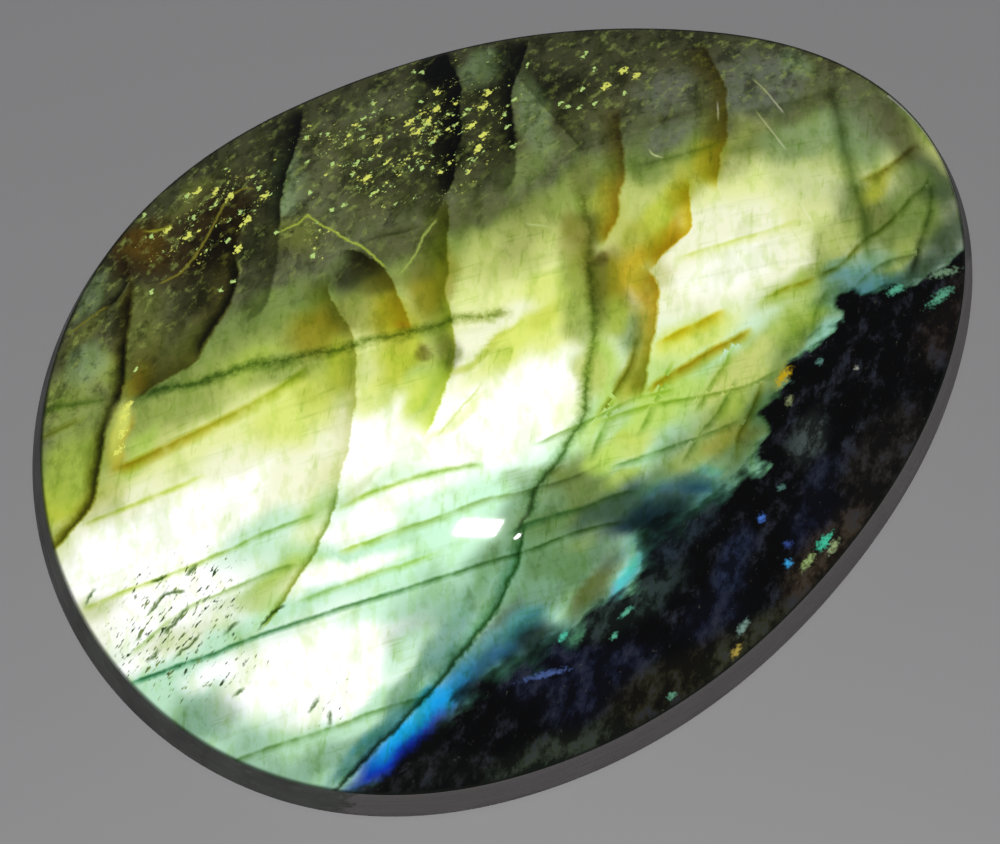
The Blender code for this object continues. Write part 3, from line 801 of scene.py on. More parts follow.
# Colour at the left and at the right, strength, reach above and below, points.
DEEP_TWIN = (0.03, 0.16, 0.08)
PALE_TWIN = (0.28, 0.44, 0.12)
LIME_TWIN = (0.44, 0.58, 0.08)
DULL_TWIN = (0.24, 0.36, 0.14)
TWINS = (
    (DEEP_TWIN, DULL_TWIN, 0.95, 0.10, 0.20, (
        (-19.3, -2.2), (-17.5, -2.75), (-16, -3.25), (-14.5, -3.65), (-13, -4.1), (-11, -4.7),
        (-9, -5.35), (-7, -5.95), (-5, -6.5), (-3.7, -6.9), (-2, -7.2), (0, -7.9),
    )),
    (LIME_TWIN, PALE_TWIN, 0.85, 0.11, 0.22, (
        (-19.3, 1.3), (-18, 0.95), (-17, 0.65), (-16, 0.35), (-15, 0.05), (-13.5, -0.3),
        (-12, -0.6), (-10.5, -1), (-9.8, -1.2),
    )),
    (PALE_TWIN, MOSS_STAIN, 0.85, 0.11, 0.22, (
        (-18.9, -1.3), (-16, -1.2), (-14.5, -1.55), (-13, -1.9), (-12, -2.15), (-11.3, -2.5),
    )),
    (PALE_TWIN, LIME_TWIN, 0.6, 0.14, 0.25, (
        (-12.5, -3.5), (-11, -3.9), (-9, -4.4), (-8, -4.75), (-6.5, -5.1),
    )),
    (LIME_TWIN, PALE_TWIN, 0.9, 0.16, 0.20, (
        (-9.2, -1.5), (-8, -1.65), (-7, -1.9), (-6, -2.15), (-5, -2.5), (-4.3, -2.8),
        (-3.7, -3.1), (-3.4, -3.3),
    )),
    (LIME_TWIN, SMOKE_STAIN, 0.9, 0.10, 0.30, (
        (-10, -2.9), (-8, -3.4), (-6, -3.95), (-4, -4.4), (-2.8, -4.9), (-1.5, -5.3), (0.2, -5.6),
    )),
    (SEA_STAIN, MOSS_STAIN, 0.95, 0.12, 0.30, (
        (-4.3, -5.9), (-3, -6.05), (-2, -6.35), (-1, -6.65), (0, -6.8), (1.2, -7.2),
    )),
    (DULL_TWIN, DULL_TWIN, 0.8, 0.11, 0.26, (
        (-17.8, -6.9), (-16.5, -7.25), (-15, -7.75), (-13.5, -8.2), (-12, -8.6), (-10.8, -8.95),
        (-10, -9.3),
    )),
    (AMBER_STAIN, LIME_TWIN, 0.95, 0.20, 0.45, (
        (-15.4, 5.1), (-14.8, 4.9), (-14, 4.7), (-12.5, 4.4), (-11, 4.1), (-9.5, 3.9), (-8, 3.85),
        (-6.8, 3.9),
    )),
    (LIME_TWIN, LIME_STAIN, 0.7, 0.15, 0.20, ((-17.5, 4), (-16, 3.6), (-14, 3), (-12.5, 2.6))),
    (LIME_TWIN, DULL_TWIN, 0.8, 0.10, 0.25, ((1, -4.1), (3, -4.6), (5, -5.3), (7, -5.9), (8.5, -6))),
    (DULL_TWIN, DULL_TWIN, 0.8, 0.10, 0.25, ((0.5, -5.9), (3, -6.4), (5, -6.8), (6, -6.9))),
    (DULL_TWIN, LIME_TWIN, 0.8, 0.12, 0.3, ((0, -5.3), (0.8, -4.7), (1.5, -4.2), (2.2, -3.6))),
    (DULL_TWIN, LIME_TWIN, 0.8, 0.12, 0.3, ((2, -5.5), (3, -4.9), (4, -4.3), (5, -3.6))),
    (DULL_TWIN, LIME_TWIN, 0.8, 0.12, 0.3, ((4.5, -5.8), (5.6, -5.2), (6.6, -4.8), (7.4, -4.3))),
    (DULL_TWIN, MOSS_STAIN, 0.8, 0.12, 0.3, ((3.0, -7.2), (4.2, -6.6), (5.4, -6.2), (6.8, -5.4))),
    (OLIVE_STAIN, OLIVE_STAIN, 0.8, 0.15, 0.3, ((4.9, -8.2), (5.6, -7.4), (6.6, -6.8), (7.6, -6))),
    (MOSS_STAIN, MOSS_STAIN, 0.8, 0.12, 0.3, ((10.4, -5.4), (10.7, -5), (11.2, -4.6), (12, -4.2))),
    (DULL_TWIN, LIME_TWIN, 0.7, 0.10, 0.20, ((-1.5, -3.6), (0.5, -3.9), (2.6, -4.1), (4.5, -4.7))),
    (SMOKE_STAIN, SMOKE_STAIN, 0.8, 0.3, 0.5, ((9.4, 5.2), (10.4, 5.15), (11.5, 4.9), (12.8, 4.7))),
    (SMOKE_STAIN, MOSS_STAIN, 0.7, 0.2, 0.4, ((8.2, 3.9), (9.5, 3.5), (10.8, 3.2), (11.8, 3.1))),
    (SMOKE_STAIN, SMOKE_STAIN, 0.5, 0.2, 0.6, (
        (13, 3.9), (14.5, 3.4), (16, 3.1), (17, 3), (18, 2.9),
    )),
    # fine cracks and seams near the narrow end
    (OLIVE_STAIN, OLIVE_STAIN, 0.8, 0.2, 0.25, (
        (1.1, -4), (2, -3.7), (3, -3.2), (3.6, -2.8), (4.3, -2.1),
    )),
    (GOLD_STAIN, GOLD_STAIN, 0.95, 0.14, 0.55, ((4.6, -2.75), (5.5, -2.8), (6.7, -2.9), (7.9, -3))),
    (AMBER_STAIN, AMBER_STAIN, 0.95, 0.18, 0.45, (
        (3.3, -4.1), (5, -4.1), (6.5, -4.1), (7.5, -4.15), (8.4, -4.1),
    )),
    (LIME_STAIN, AMBER_STAIN, 0.8, 0.12, 0.25, (
        (9, -3.4), (10.3, -3.4), (11.3, -3.55), (11.8, -3.65),
    )),
    (LIME_STAIN, LIME_STAIN, 0.5, 0.10, 0.4, ((7.2, -0.3), (9, -0.6), (11, -1.1), (12.6, -1.3))),
    (OLIVE_STAIN, MOSS_STAIN, 0.95, 0.14, 0.25, (
        (11.8, -3.65), (12.8, -3.65), (13.5, -3.5), (14.3, -3.25), (15.1, -3.2), (16, -3),
        (17, -2.6), (18, -2.4), (18.6, -2),
    )),
    (OLIVE_STAIN, BROWN_STAIN, 0.9, 0.18, 0.45, (
        (15.6, -1.1), (16.8, -1.1), (17.6, -0.95), (18.9, -0.7),
    )),
    (BLACK_STAIN, MOSS_STAIN, 0.9, 0.2, 0.3, (
        (15.2, -5.3), (16, -4.7), (16.7, -4.1), (17.3, -3.6), (17.9, -3), (18.4, -2.3),
    )),
    (MOSS_STAIN, SMOKE_STAIN, 0.8, 0.12, 0.3, (
        (12.9, -4.7), (13.6, -4.5), (14.5, -4.4), (15.5, -4.55), (16.5, -4.8),
    )),
)
uneven = pattern.span(pattern.noise(place, (0.9, 0.9), detail=2), 0.3, 0.6, low=0.45)
lay_lines("twins", TWINS, waver=0.4, breaks=uneven)


# ---------------------------------------------------------------------------------------
# Bright cracks and beads
#
# Some cracks lie open to the light and shine, painted as bright lines: painted reflections.
# Two old healed ones are strings of tiny dark beads.
# ---------------------------------------------------------------------------------------

GOLD_SEAM = ((-15.3, 5.2), (-14.8, 5.7), (-14.4, 6.3), (-13.9, 6.8), (-13.4, 6.95))
# Colour, strength, reach to either side, points.
SHINING = (
    (paint(170, 190, 70), 0.95, 0.09, (
        (-5, 9.4), (-4, 9.3), (-3.6, 9.4), (-3.4, 8.7), (-3.15, 8.1), (-2.9, 7.4), (-2.65, 6.8),
        (-2.45, 6), (-2.3, 5.5),
    )),
    (paint(160, 180, 85), 0.9, 0.10, ((-2.2, 5), (-1.4, 5.3), (-0.5, 5.8), (0.5, 6.2))),
    (paint(135, 130, 45), 0.9, 0.09, (
        (-10, 10.5), (-8.6, 10.45), (-7.8, 10.8), (-7, 11.3), (-6.3, 11.7), (-5.7, 12),
        (-5, 12.1), (-4.6, 11.7),
    )),
    (paint(170, 170, 50), 0.9, 0.10, ((-9.2, 13), (-8.7, 12.7), (-8, 12.5))),
    (paint(125, 125, 40), 0.8, 0.10, ((-14, 11.2), (-12.8, 11.1), (-11.9, 11))),
    (paint(210, 220, 150), 0.8, 0.07, ((9, 4.3), (9.1, 3.9), (9.4, 3.6))),
    (paint(190, 205, 130), 0.8, 0.08, ((3.1, 4.1), (3.6, 3.7), (3.95, 3.4))),
    (paint(225, 240, 140), 0.9, 0.10, ((-4.5, -1.25), (-3.5, -1), (-2.5, -0.7), (-1.8, -0.4))),
)
shining = [(STRAW, LEMON, 1.0, 0.6, 0.5, GOLD_SEAM)]
for colour, strength, reach, points in SHINING:
    shining.append((colour, colour, strength, reach, reach, points))
# The painted reflections of the open cracks, laid as bright lines.
lay_lines("shining", shining, waver=0.8, bright=True, ends=0.3)

BEADED = (
    ((0.12, 0.22, 0.08), (0.22, 0.28, 0.06), 0.85, 0.30, 0.34, (
        (-13.2, 7), (-12, 6.5), (-11, 6), (-9.5, 5.5), (-8, 4.8), (-7, 4.4), (-6, 3.95),
        (-5, 3.6), (-4, 3.2), (-3, 2.8), (-2, 2.45), (-1, 2.1), (0, 1.6), (0.8, 1.2),
    )),
    ((0.12, 0.26, 0.10), (0.34, 0.36, 0.12), 0.75, 0.38, 0.34, BEADED_FRACTURE),
)
beads = pattern.span(pattern.noise(place, (0.34, 0.26), detail=3, roughness=0.7), 0.36, 0.58, low=0.5)
lay_lines("beaded", BEADED, waver=1.2, breaks=beads)


# ---------------------------------------------------------------------------------------
# Sparkle and pits
#
# Flakes of copper and hematite glint in the dark side, painted as glints with a painted glow
# round each; and the soft end of the stone has lost tiny needles of rock to the wheel.
# ---------------------------------------------------------------------------------------

# The colours of the painted glints.
SPARKLE_YELLOW = paint(232, 238, 110)
SPARKLE_GREEN = paint(190, 225, 130)
SCARCER = 0.25  # how much rarer flakes are where a zone is faint
GLINT_SIZE = (0.7, 0.5)  # over what distance flakes change hue, in millimetres
GLINT_HALO = 0.45  # how strongly a flake lights the stone close round it
SPARKLE_ZONES = (
    (1.5, 10, 4.5, 3.3, 0, 1), (-6.5, 12, 3.5, 1.8, 10, 0.9), (5, 9.5, 2, 1.6, 20, 0.8),
    (-3.2, 8.9, 2.4, 1.6, 0, 0.75), (-1.5, 11.5, 2.4, 1.8, 0, 0.8), (-8.2, 12.3, 1.6, 1.2, 20, 0.9),
    (-12.6, 9.6, 1.2, 0.9, 0, 0.4), (9.5, 8, 2.6, 1, -10, 0.5), (-17.8, 5.4, 1.2, 0.8, 30, 0.3),
)
store_zones("sparkle", SPARKLE_ZONES)


def lay_flakes(zone, size, turn, rarity, colours):
    """Strews ragged flakes of about this size over a zone, rarer where the zone is faint.

    It gives back where they are.
    """
    ragged = pattern.noise(place, size, turn, detail=2, roughness=0.7)
    need = pattern.math("MULTIPLY_ADD", zone, -SCARCER, rarity + SCARCER)
    over = pattern.math("SUBTRACT", ragged, need)
    hue = pattern.span(pattern.noise(place, GLINT_SIZE, detail=0), 0.35, 0.65)
    inputs = {0: hue, 6: (*colours[0], 1), 7: (*colours[1], 1)}
    flakes = pattern.node("Mix", inputs, data_type="RGBA").outputs[2]
    # A soft halo round each flake, then the flake itself; round the sparkle it is a painted glow.
    pattern.lay(flakes, pattern.span(over, -0.07, 0.03, high=GLINT_HALO))
    mask = pattern.span(over, 0, 0.05)
    pattern.lay(flakes, mask)
    return mask


zone = pattern.kept("sparkle")
clumps = pattern.noise(place, (1.6, 0.6), detail=2)
zone = pattern.math("MULTIPLY", zone, pattern.span(clumps, 0.35, 0.60))
for size, turn, rarity in (((0.42, 0.26), 8, 0.63), ((0.18, 0.13), 12, 0.66)):
    lay_flakes(zone, size, turn, rarity, (SPARKLE_YELLOW, SPARKLE_GREEN))

NEEDLES = (
    ((-19, 1.35), (-18.4, 1.65)), ((-16.5, 0.45), (-15.9, 0.35)),
    ((-17.3, -0.45), (-16.4, -0.25), (-15.6, -0.65)),
    ((-15.3, -0.15), (-14.7, -0.05)), ((-17.2, -1.5), (-16.5, -1.35), (-15.9, -1.2)),
    ((-18.2, -1.95), (-17.6, -1.85)), ((-18.2, -1.05), (-17.8, -0.9)), ((-17.3, -2.5), (-16, -2.4)),
    ((-15.2, -2.95), (-14.6, -2.85)), ((-14, -3.55), (-13.3, -3.35), (-12.7, -3.4)),
    ((-16.2, -5), (-15.7, -5)), ((-14.1, -7.2), (-13.5, -7)), ((-13.7, -8.0), (-13.4, -7.6)),
)
NEEDLE_STAIN = (0.10, 0.15, 0.07)
needles = [(NEEDLE_STAIN, NEEDLE_STAIN, 1.0, 0.12, 0.09, points) for points in NEEDLES]
lay_lines("needles", needles, ends=0.15)

PIT_ZONES = (
    (-16.5, -1.5, 3.5, 3, 0, 1), (-13.4, -7.4, 1.4, 0.8, 20, 0.7), (-15.8, -4.3, 2, 0.8, 0, 0.9),
)
store_zones("pits", PIT_ZONES)
pit_mask = lay_flakes(pattern.kept("pits"), (0.50, 0.14), 18, 0.63, (PINE, MOSS))


# ---------------------------------------------------------------------------------------
# The black rock
#
# One side of the stone is the dark rock that the crystal grew in. The crystal ends against
# it in a ragged edge that flashes blue and sea green, and crumbs of crystal lie inside it.
# ---------------------------------------------------------------------------------------

ROCK_EDGE = (
    (-21, -10.3), (-15, -10.4), (-14, -10.8), (-12, -11.0), (-10, -10.6), (-9.2, -10.0), (-8, -9.9),
    (-7, -10), (-6, -10.1), (-5, -10.1), (-3.8, -10.5), (-3, -10.2), (-2.5, -10), (-1, -10.2),
    (-0.3, -9.7), (0, -9.2), (0.3, -8.6), (1, -8.6), (2, -8.9), (3, -8.9), (4, -8.8), (5, -8.6),
    (5.5, -8.8), (6, -8.5), (6.7, -7.7), (7.1, -7.1), (7.5, -6.8), (8, -6.8), (8.5, -6.5), (9, -6),
    (10, -5.85), (11, -5.8), (11.6, -5.4), (11.8, -5), (12.3, -4.7), (12.7, -4.9), (12.9, -5.1),
    (13.3, -5.2), (14, -5.4), (15, -5.75), (16, -5.7), (17, -5.6), (18, -5.5), (21, -5.4),
)
outside, _, _ = follow(np.array(ROCK_EDGE))
store("rock", -outside)

# Here and there the flash dies away into the rock instead of ending sharply: along, softness.
SOFTNESS = (
    (-21, 0.12), (-14, 0.10), (-9.3, 0.12), (-8.5, 0.5), (-4.5, 0.5), (-3.5, 0.2), (-1.5, 0.15),
    (-0.5, 0.25), (0.5, 0.7), (3.2, 0.6), (4.5, 0.25), (6, 0.12), (12, 0.14), (21, 0.12),
)
along_x, softness = zip(*SOFTNESS)
store("softness", np.interp(spots[:, 0], along_x, softness))

# Smoky patches in the rock: colour, x, y, length, width, turn, strength.
ROCK_CLOUDS = (
    (NAVY, -4, -12.3, 2.2, 1, 0, 0.8), (paint(52, 68, 62), -1.6, -10.4, 2.4, 0.6, 0, 0.8),
    (NAVY, -5.6, -11, 1.8, 0.6, -10, 0.8), (paint(40, 52, 60), 1.4, -9.4, 1.6, 0.6, 0, 0.8),
    (NAVY, 1, -12.5, 1.4, 0.8, 0, 0.7), (NAVY, 6.7, -11.4, 1.4, 0.8, 0, 0.7),
    (paint(80, 92, 88), 8, -8.6, 1, 0.6, 20, 0.8), (paint(50, 42, 36), 16, -7.5, 2.2, 1, 20, 0.8),
    (paint(50, 46, 42), 10.5, -10.8, 2.2, 1.2, 20, 0.8),
    (paint(50, 48, 32), -1.5, -13.7, 3.4, 0.8, 0, 0.8),
    (paint(70, 60, 46), 6.2, -12.7, 2.6, 0.7, 20, 0.8),
    (paint(58, 60, 42), 1.6, -13.9, 2.2, 0.6, 5, 0.8),
    (paint(46, 56, 84), 2.8, -11.2, 1.2, 0.5, 30, 0.6),
    (paint(38, 44, 62), 7.6, -10, 1.2, 0.6, 20, 0.6),
    (paint(60, 70, 55), -7, -13.6, 2.6, 0.7, -10, 0.8),
    (paint(34, 36, 34), -11.5, -11.6, 2.5, 0.9, -25, 0.7),
)
dark = np.tile(BLACK, (len(spots), 1))
store("rock colour", brush_colours(dark, ROCK_CLOUDS))

crystal = pattern.colour
pattern.colour = pattern.kept("rock colour", "Color")
smoke = pattern.noise(place, (1.3, 0.8), 30, detail=5, roughness=0.68)
pattern.lay((0.15, 0.15, 0.15), pattern.span(smoke, 0.62, 0.42), mode="MULTIPLY")
pattern.lay(paint(50, 54, 64), pattern.span(smoke, 0.52, 0.76, high=0.7))
grain = pattern.noise(place, (0.30, 0.22), LEAN_TURN, detail=3, roughness=0.7)
pattern.lay(paint(88, 84, 74), pattern.span(grain, 0.68, 0.80, high=0.5))
rock_colour = pattern.colour
pattern.colour = crystal

ROCK_RAGS = 1.4  # how far the rock's edge wanders in and out, in millimetres
# Near the rock the painted flash dims and turns blue, more so where it ends softly.
EDGE_BLUE = (0.10, 0.22, 0.30, 1)  # what the crystal lets through near the rock
BLUE_REACH = 1.6  # how far from the rock that starts
BLUE_LEAST = 0.12  # how strong it is where the crystal ends sharply
BLUE_MORE = 1.1  # and how much stronger for each millimetre of softness
EDGE_GREEN = (0.25, 0.40, 0.28)  # a dark green line right at the rock
GREEN_REACH = 0.3
ragged = pattern.noise(place, (1.5, 0.6), LAYER_TURN + 20, detail=3, roughness=0.5)
ragged = pattern.math("MULTIPLY_ADD", ragged, ROCK_RAGS, -ROCK_RAGS / 2)
depth = pattern.math("ADD", pattern.kept("rock"), ragged)
softness = pattern.kept("softness")
blueness = pattern.math("MULTIPLY_ADD", softness, BLUE_MORE, BLUE_LEAST)
blueness = pattern.math("MULTIPLY", pattern.span(depth, -BLUE_REACH, 0.0), blueness)
pattern.stain(EDGE_BLUE, blueness)
pattern.lay(EDGE_GREEN, pattern.span(depth, -GREEN_REACH, 0.0, high=0.8), mode="MULTIPLY")
pattern.lay(rock_colour, pattern.span(pattern.math("DIVIDE", depth, softness), -1, 1))

# Crumbs and dashes: colour, x, y, length, width, turn.
CRUMBS = (
    (paint(70, 90, 140), -5.7, -11, 0.8, 0.1, -18), (paint(80, 190, 160), -4.4, -10.2, 0.22, 0.1, 20),
    (paint(70, 120, 90), -4, -10.5, 0.3, 0.16, 0), (paint(90, 170, 140), -1.8, -10.7, 0.28, 0.09, 10),
    (paint(90, 170, 140), -2.7, -11.2, 0.16, 0.08, 10),
    (paint(100, 160, 130), -1.9, -14.1, 0.18, 0.09, 0),
    (paint(170, 150, 70), 1.2, -14, 0.25, 0.12, 20), (paint(120, 150, 140), 1.9, -13.4, 0.3, 0.12, 20),
    (paint(70, 110, 190), 4.7, -10.4, 0.16, 0.13, 0), (paint(50, 70, 130), 5.1, -11.7, 0.16, 0.12, 0),
    (paint(60, 160, 220), 4.75, -12.3, 0.18, 0.12, 0),
    (paint(150, 175, 110), 5.5, -12.6, 0.35, 0.12, 20),
    (paint(70, 200, 160), 6.5, -12.3, 0.4, 0.16, 10), (paint(150, 170, 120), 6.7, -12.6, 0.3, 0.12, 20),
    (paint(80, 120, 110), 6, -9.8, 0.16, 0.1, 0), (paint(120, 130, 90), 8.1, -7.2, 0.2, 0.12, 30),
    (paint(80, 120, 110), 10, -6.5, 0.16, 0.1, 0), (paint(150, 150, 140), 11.2, -7.4, 0.1, 0.08, 0),
    (paint(90, 160, 130), 16, -6.5, 0.6, 0.16, 10), (paint(110, 140, 110), 16.6, -5.75, 0.6, 0.14, -12),
    (paint(90, 170, 140), 14.4, -5.5, 0.35, 0.14, 0), (paint(190, 160, 20), 8.4, -6.3, 0.4, 0.16, 20),
)
# Flakes in the dark side, painted as glints, the big ones all alike and the small ones too.
BIG_FLAKES = (
    (10.4, 8.0), (10.7, 7.5), (9.4, 7.7), (4.8, 9.6), (5.3, 10.1), (4.0, 8.4), (3.9, 9.1), (2.0, 10.1),
    (3.2, 10.6), (2.0, 10.7), (2.6, 10.3), (-0.8, 9.4), (-5.6, 10.7), (-7.9, 11.6), (-8.4, 12.4),
    (-5.9, 12.7), (-6.5, 13.2), (-4.5, 11.2), (-5.6, 12.1), (-6.6, 9.8), (3.5, 8.0), (0.5, 10.7),
    (-14.3, 6.1), (-13.9, 6.6), (-14.8, 5.6), (-13.6, 6.9),
)
SMALL_FLAKES = (
    (-0.95, 12.2), (0.6, 12.0), (1.3, 12.4), (-2.3, 11.5), (-1.7, 12.6), (1.0, 10.6), (4.2, 9.85),
    (4.7, 7.3), (5.3, 8.8), (7.4, 8.0), (7.5, 7.7), (8.5, 8.1), (9.5, 9.5), (9.7, 9.6), (9.5, 8.7),
    (7.4, 10.4), (7.9, 7.4), (8.5, 7.2), (9.8, 7.0), (-2.7, 9.0), (-2.2, 8.9), (3.5, 12.8), (3.8, 12.6),
    (1.2, 8.5), (-9.0, 12.6), (-6.7, 10.4), (-4.5, 11.7), (-8.1, 8.7), (-7.5, 8.7), (-5.0, 9.5),
    (-6.9, 13.3), (-8.7, 13.7), (-12.5, 8.0), (-4.4, 7.7), (-1.2, 9.9), (0.1, 11.2), (2.9, 11.3),
    (5.0, 8.2), (2.2, 9.3), (-3.0, 10.2), (-1.6, 10.8), (6.0, 9.2), (-10.3, 10.4), (-7.2, 12.2),
)

CRUMBLE_SIZE = (0.16, 0.12)  # how fine their broken edges are, in millimetres
CRUMB_EDGE = 0.85  # where a mark ends, in its own half sizes
BIG_FLAKE = (0.22, 0.12, 15)  # length, width, turn
SMALL_FLAKE = (0.12, 0.08, 15)


def lay_crumbs(name, crumbs, raggedness, softness):
    """Keeps a sheet of small oval marks on the mesh and lays them over the face's colour."""
    sheet = Sheet(name)
    for colour, x, y, length, width, turn in crumbs:
        local = in_oval(spots, (x, y), (length, width), turn)
        places = np.column_stack((local, np.zeros(len(spots))))
        colours = np.tile(colour, (len(spots), 1))
        sheet.add(places, colours, np.ones(len(spots)), np.linalg.norm(spots - (x, y), axis=1))
    sheet.keep()
    offset = {0: pattern.kept(name + " place", "Vector")}
    inside = pattern.node("VectorMath", offset, operation="LENGTH").outputs["Value"]
    crumbled = pattern.noise(place, CRUMBLE_SIZE, detail=1)
    rough = pattern.math("MULTIPLY_ADD", crumbled, raggedness, -raggedness / 2)
    away = pattern.math("ADD", inside, rough)
    cover = pattern.span(away, CRUMB_EDGE + softness, CRUMB_EDGE - softness)
    pattern.lay(pattern.kept(name + " tint", "Color"), cover)


lay_crumbs("crumbs", CRUMBS, raggedness=2.0, softness=0.75)
flakes = [(SPARKLE_YELLOW, *spot, *BIG_FLAKE) for spot in BIG_FLAKES]
flakes += [(SPARKLE_GREEN, *spot, *SMALL_FLAKE) for spot in SMALL_FLAKES]
lay_crumbs("flakes", flakes, raggedness=3.0, softness=0.35)


# ---------------------------------------------------------------------------------------
# The polish
#
# Felt and cerium oxide leave the dome glassy, with a few fine hair scratches and with pits
# that hold no polish. Its rim dips away too steeply to flash, so the face is painted dark
# there: a painted shade.
# ---------------------------------------------------------------------------------------

SCRATCHES = (
    ((12.2, 1.2), (12.3, 0.4), (12.4, -0.5)), ((12.9, 1.4), (12.95, 0), (12.9, -1.8)),
    ((13.8, 3.6), (13.8, 1.5)), ((14.6, 5), (14.7, 4), (14.7, 2.9)), ((12.0, -1.4), (12.0, -3)),
    ((10.2, 0.9), (10.7, 1.2)), ((8.3, -0.2), (9.4, -0.5)), ((12.2, 3.9), (12.7, 4.7)),
    ((10.9, -0.3), (12.2, -0.7)),
)
scratched = [(KHAKI, CREAM, 0.4, 0.07, 0.07, points) for points in SCRATCHES]
lay_lines("scratches", scratched, waver=0.2, bright=True, ends=0.2)

GIRDLE_TOP = 2.2  # where the dome starts, in millimetres above the back
RIM_START = GIRDLE_TOP + 0.10  # below this the face goes dark
RIM_END = GIRDLE_TOP + 0.02  # and here it is darkest
height = pattern.split(place)[2]
# Painted shade: the rim, tipped away from the lamp, is painted dark.
rim = pattern.span(height, RIM_START, RIM_END, high=0.85)
pattern.lay(paint(30, 34, 30), rim)


def new_group(name, inputs, outputs):
    """A node group with these sockets, and the pattern, the input and the output inside it."""
    group = bpy.data.node_groups.new(name, "ShaderNodeTree")
    for in_out, sockets in (("INPUT", inputs), ("OUTPUT", outputs)):
        for label, kind in sockets.items():
            group.interface.new_socket(name=label, in_out=in_out, socket_type="NodeSocket" + kind)
    inner = Pattern(group)
    start = group.nodes.new("NodeGroupInput").outputs
    finish = group.nodes.new("NodeGroupOutput").inputs
    return group, inner, start, finish


# Fine parallel marks from a wheel or a lap: grooves of one size, and a roughness to match.
wheel_marks, inner, start, finish = new_group(
    "wheel marks",
    {"Place": "Vector", "Groove Size": "Vector", "Smoothest": "Float", "Roughest": "Float"},
    {"Height": "Float", "Roughness": "Float"},
)
grooves = inner.noise(start["Place"], (1, 1, 1), detail=3)
groove_place = grooves.node.inputs["Vector"].links[0].from_node
inner.tree.links.new(start["Groove Size"], groove_place.inputs["Scale"])
worn = inner.noise(start["Place"], (2.2, 2.2, 2.2), detail=3)
both = inner.math("ADD", inner.math("MULTIPLY", grooves, 0.6), inner.math("MULTIPLY", worn, 0.4))
change = inner.math("SUBTRACT", start["Roughest"], start["Smoothest"])
roughness = inner.math("MULTIPLY_ADD", inner.span(both, 0.35, 0.65), change, start["Smoothest"])
inner.tree.links.new(inner.span(grooves, 0.3, 0.7), finish["Height"])
inner.tree.links.new(roughness, finish["Roughness"])


def mark(pattern, shader, place, groove_size, depth, smoothest, roughest):
    """Gives a material its colour and its wheel marks, of a depth in millimetres."""
    links = pattern.tree.links
    group = pattern.node("Group", node_tree=wheel_marks)
    links.new(place, group.inputs["Place"])
    group.inputs["Groove Size"].default_value = groove_size
    group.inputs["Smoothest"].default_value = smoothest
    group.inputs["Roughest"].default_value = roughest
    links.new(group.outputs["Roughness"], shader.inputs["Roughness"])
    bump = pattern.node("Bump", {"Height": group.outputs["Height"], "Distance": depth * MM})
    links.new(bump.outputs["Normal"], shader.inputs["Normal"])
    links.new(pattern.colour, shader.inputs["Base Color"])


mark(
    pattern,
    face_shader,
    place,
    groove_size=(0.3, 2.5, 1.0),
    depth=0.001,
    smoothest=0.30,
    roughest=0.42,
)
unpolished = pattern.math("MAXIMUM", pit_mask, rim)
polish = pattern.span(unpolished, 0, 1, low=1.0, high=0.3)
pattern.tree.links.new(polish, face_shader.inputs["Coat Weight"])
face_shader.inputs["Specular IOR Level"].default_value = 0.0  # the coat alone shines
face_shader.inputs["Coat Roughness"].default_value = 0.03
stone.data.materials.clear()
stone.data.materials.append(face)


# ---------------------------------------------------------------------------------------
# The girdle and the back
#
# Below the dome the same stone is only ground: a wall 2 mm high that leans in a little, and a
# flat lapped back to glue into a setting. Both show the crystal's plain grey-green body.
# ---------------------------------------------------------------------------------------

ROCK_BLUR = 0.15  # how softly the rock ends in the ground stone, in millimetres

# Raw labradorite: grey-green, cloudy, flecked with cleavage, and black rock beyond an edge.
RAW_COLOURS = ("Body", "Cloud", "Fleck", "Vein", "Rock")
raw_stone, inner, start, finish = new_group(
    "raw labradorite",
    {"Place": "Vector", "Depth in Rock": "Float", **dict.fromkeys(RAW_COLOURS, "Color")},
    {"Colour": "Color"},
)
inner.colour = start["Body"]
cloudy = inner.noise(start["Place"], (4.5, 2.2, 3.0), 30, detail=6, roughness=0.62)
inner.lay(start["Cloud"], inner.span(cloudy, 0.36, 0.66))
flecked = inner.noise(start["Place"], (0.7, 0.35, 0.5), LEAN_TURN, detail=5, roughness=0.68)
inner.lay(start["Fleck"], inner.span(flecked, 0.56, 0.74, high=0.6))
folds = inner.noise(start["Place"], (22.0, 5.0, 9.0), LEAN_TURN, detail=2, roughness=0.35)
off_vein = inner.math("ABSOLUTE", inner.math("SUBTRACT", folds, 0.5))
inner.lay(start["Vein"], inner.span(off_vein, 0.012, 0.001, high=0.5))
crumble = inner.noise(start["Place"], (1.2, 1.0, 1.2), detail=4, roughness=0.65)
deep = inner.math("ADD", start["Depth in Rock"], inner.math("MULTIPLY_ADD", crumble, 2.0, -1.0))
inner.lay(start["Rock"], inner.span(deep, -ROCK_BLUR, ROCK_BLUR))
inner.tree.links.new(inner.colour, finish["Colour"])


def add_raw_stone(name, colours, **marks):
    """Gives the stone a material of raw labradorite in its five colours, with wheel marks."""
    material, shader, pattern, place = new_material(name)
    group = pattern.node("Group", node_tree=raw_stone)
    pattern.tree.links.new(place, group.inputs["Place"])
    pattern.tree.links.new(pattern.kept("rock"), group.inputs["Depth in Rock"])
    for label, colour in zip(RAW_COLOURS, colours):
        group.inputs[label].default_value = (*paint(*colour), 1)
    pattern.colour = group.outputs["Colour"]
    mark(pattern, shader, place, **marks)
    stone.data.materials.append(material)


add_raw_stone(
    "ground girdle",
    ((74, 78, 72), (54, 57, 53), (108, 112, 100), (44, 42, 34), (98, 94, 94)),
    groove_size=(2.5, 2.5, 0.07),
    depth=0.012,
    smoothest=0.32,
    roughest=0.55,
)
add_raw_stone(
    "lapped back",
    ((112, 118, 104), (88, 96, 86), (136, 142, 124), (64, 60, 40), (38, 37, 36)),
    groove_size=(0.09, 6.0, 1.0),
    depth=0.010,
    smoothest=0.38,
    roughest=0.60,
)

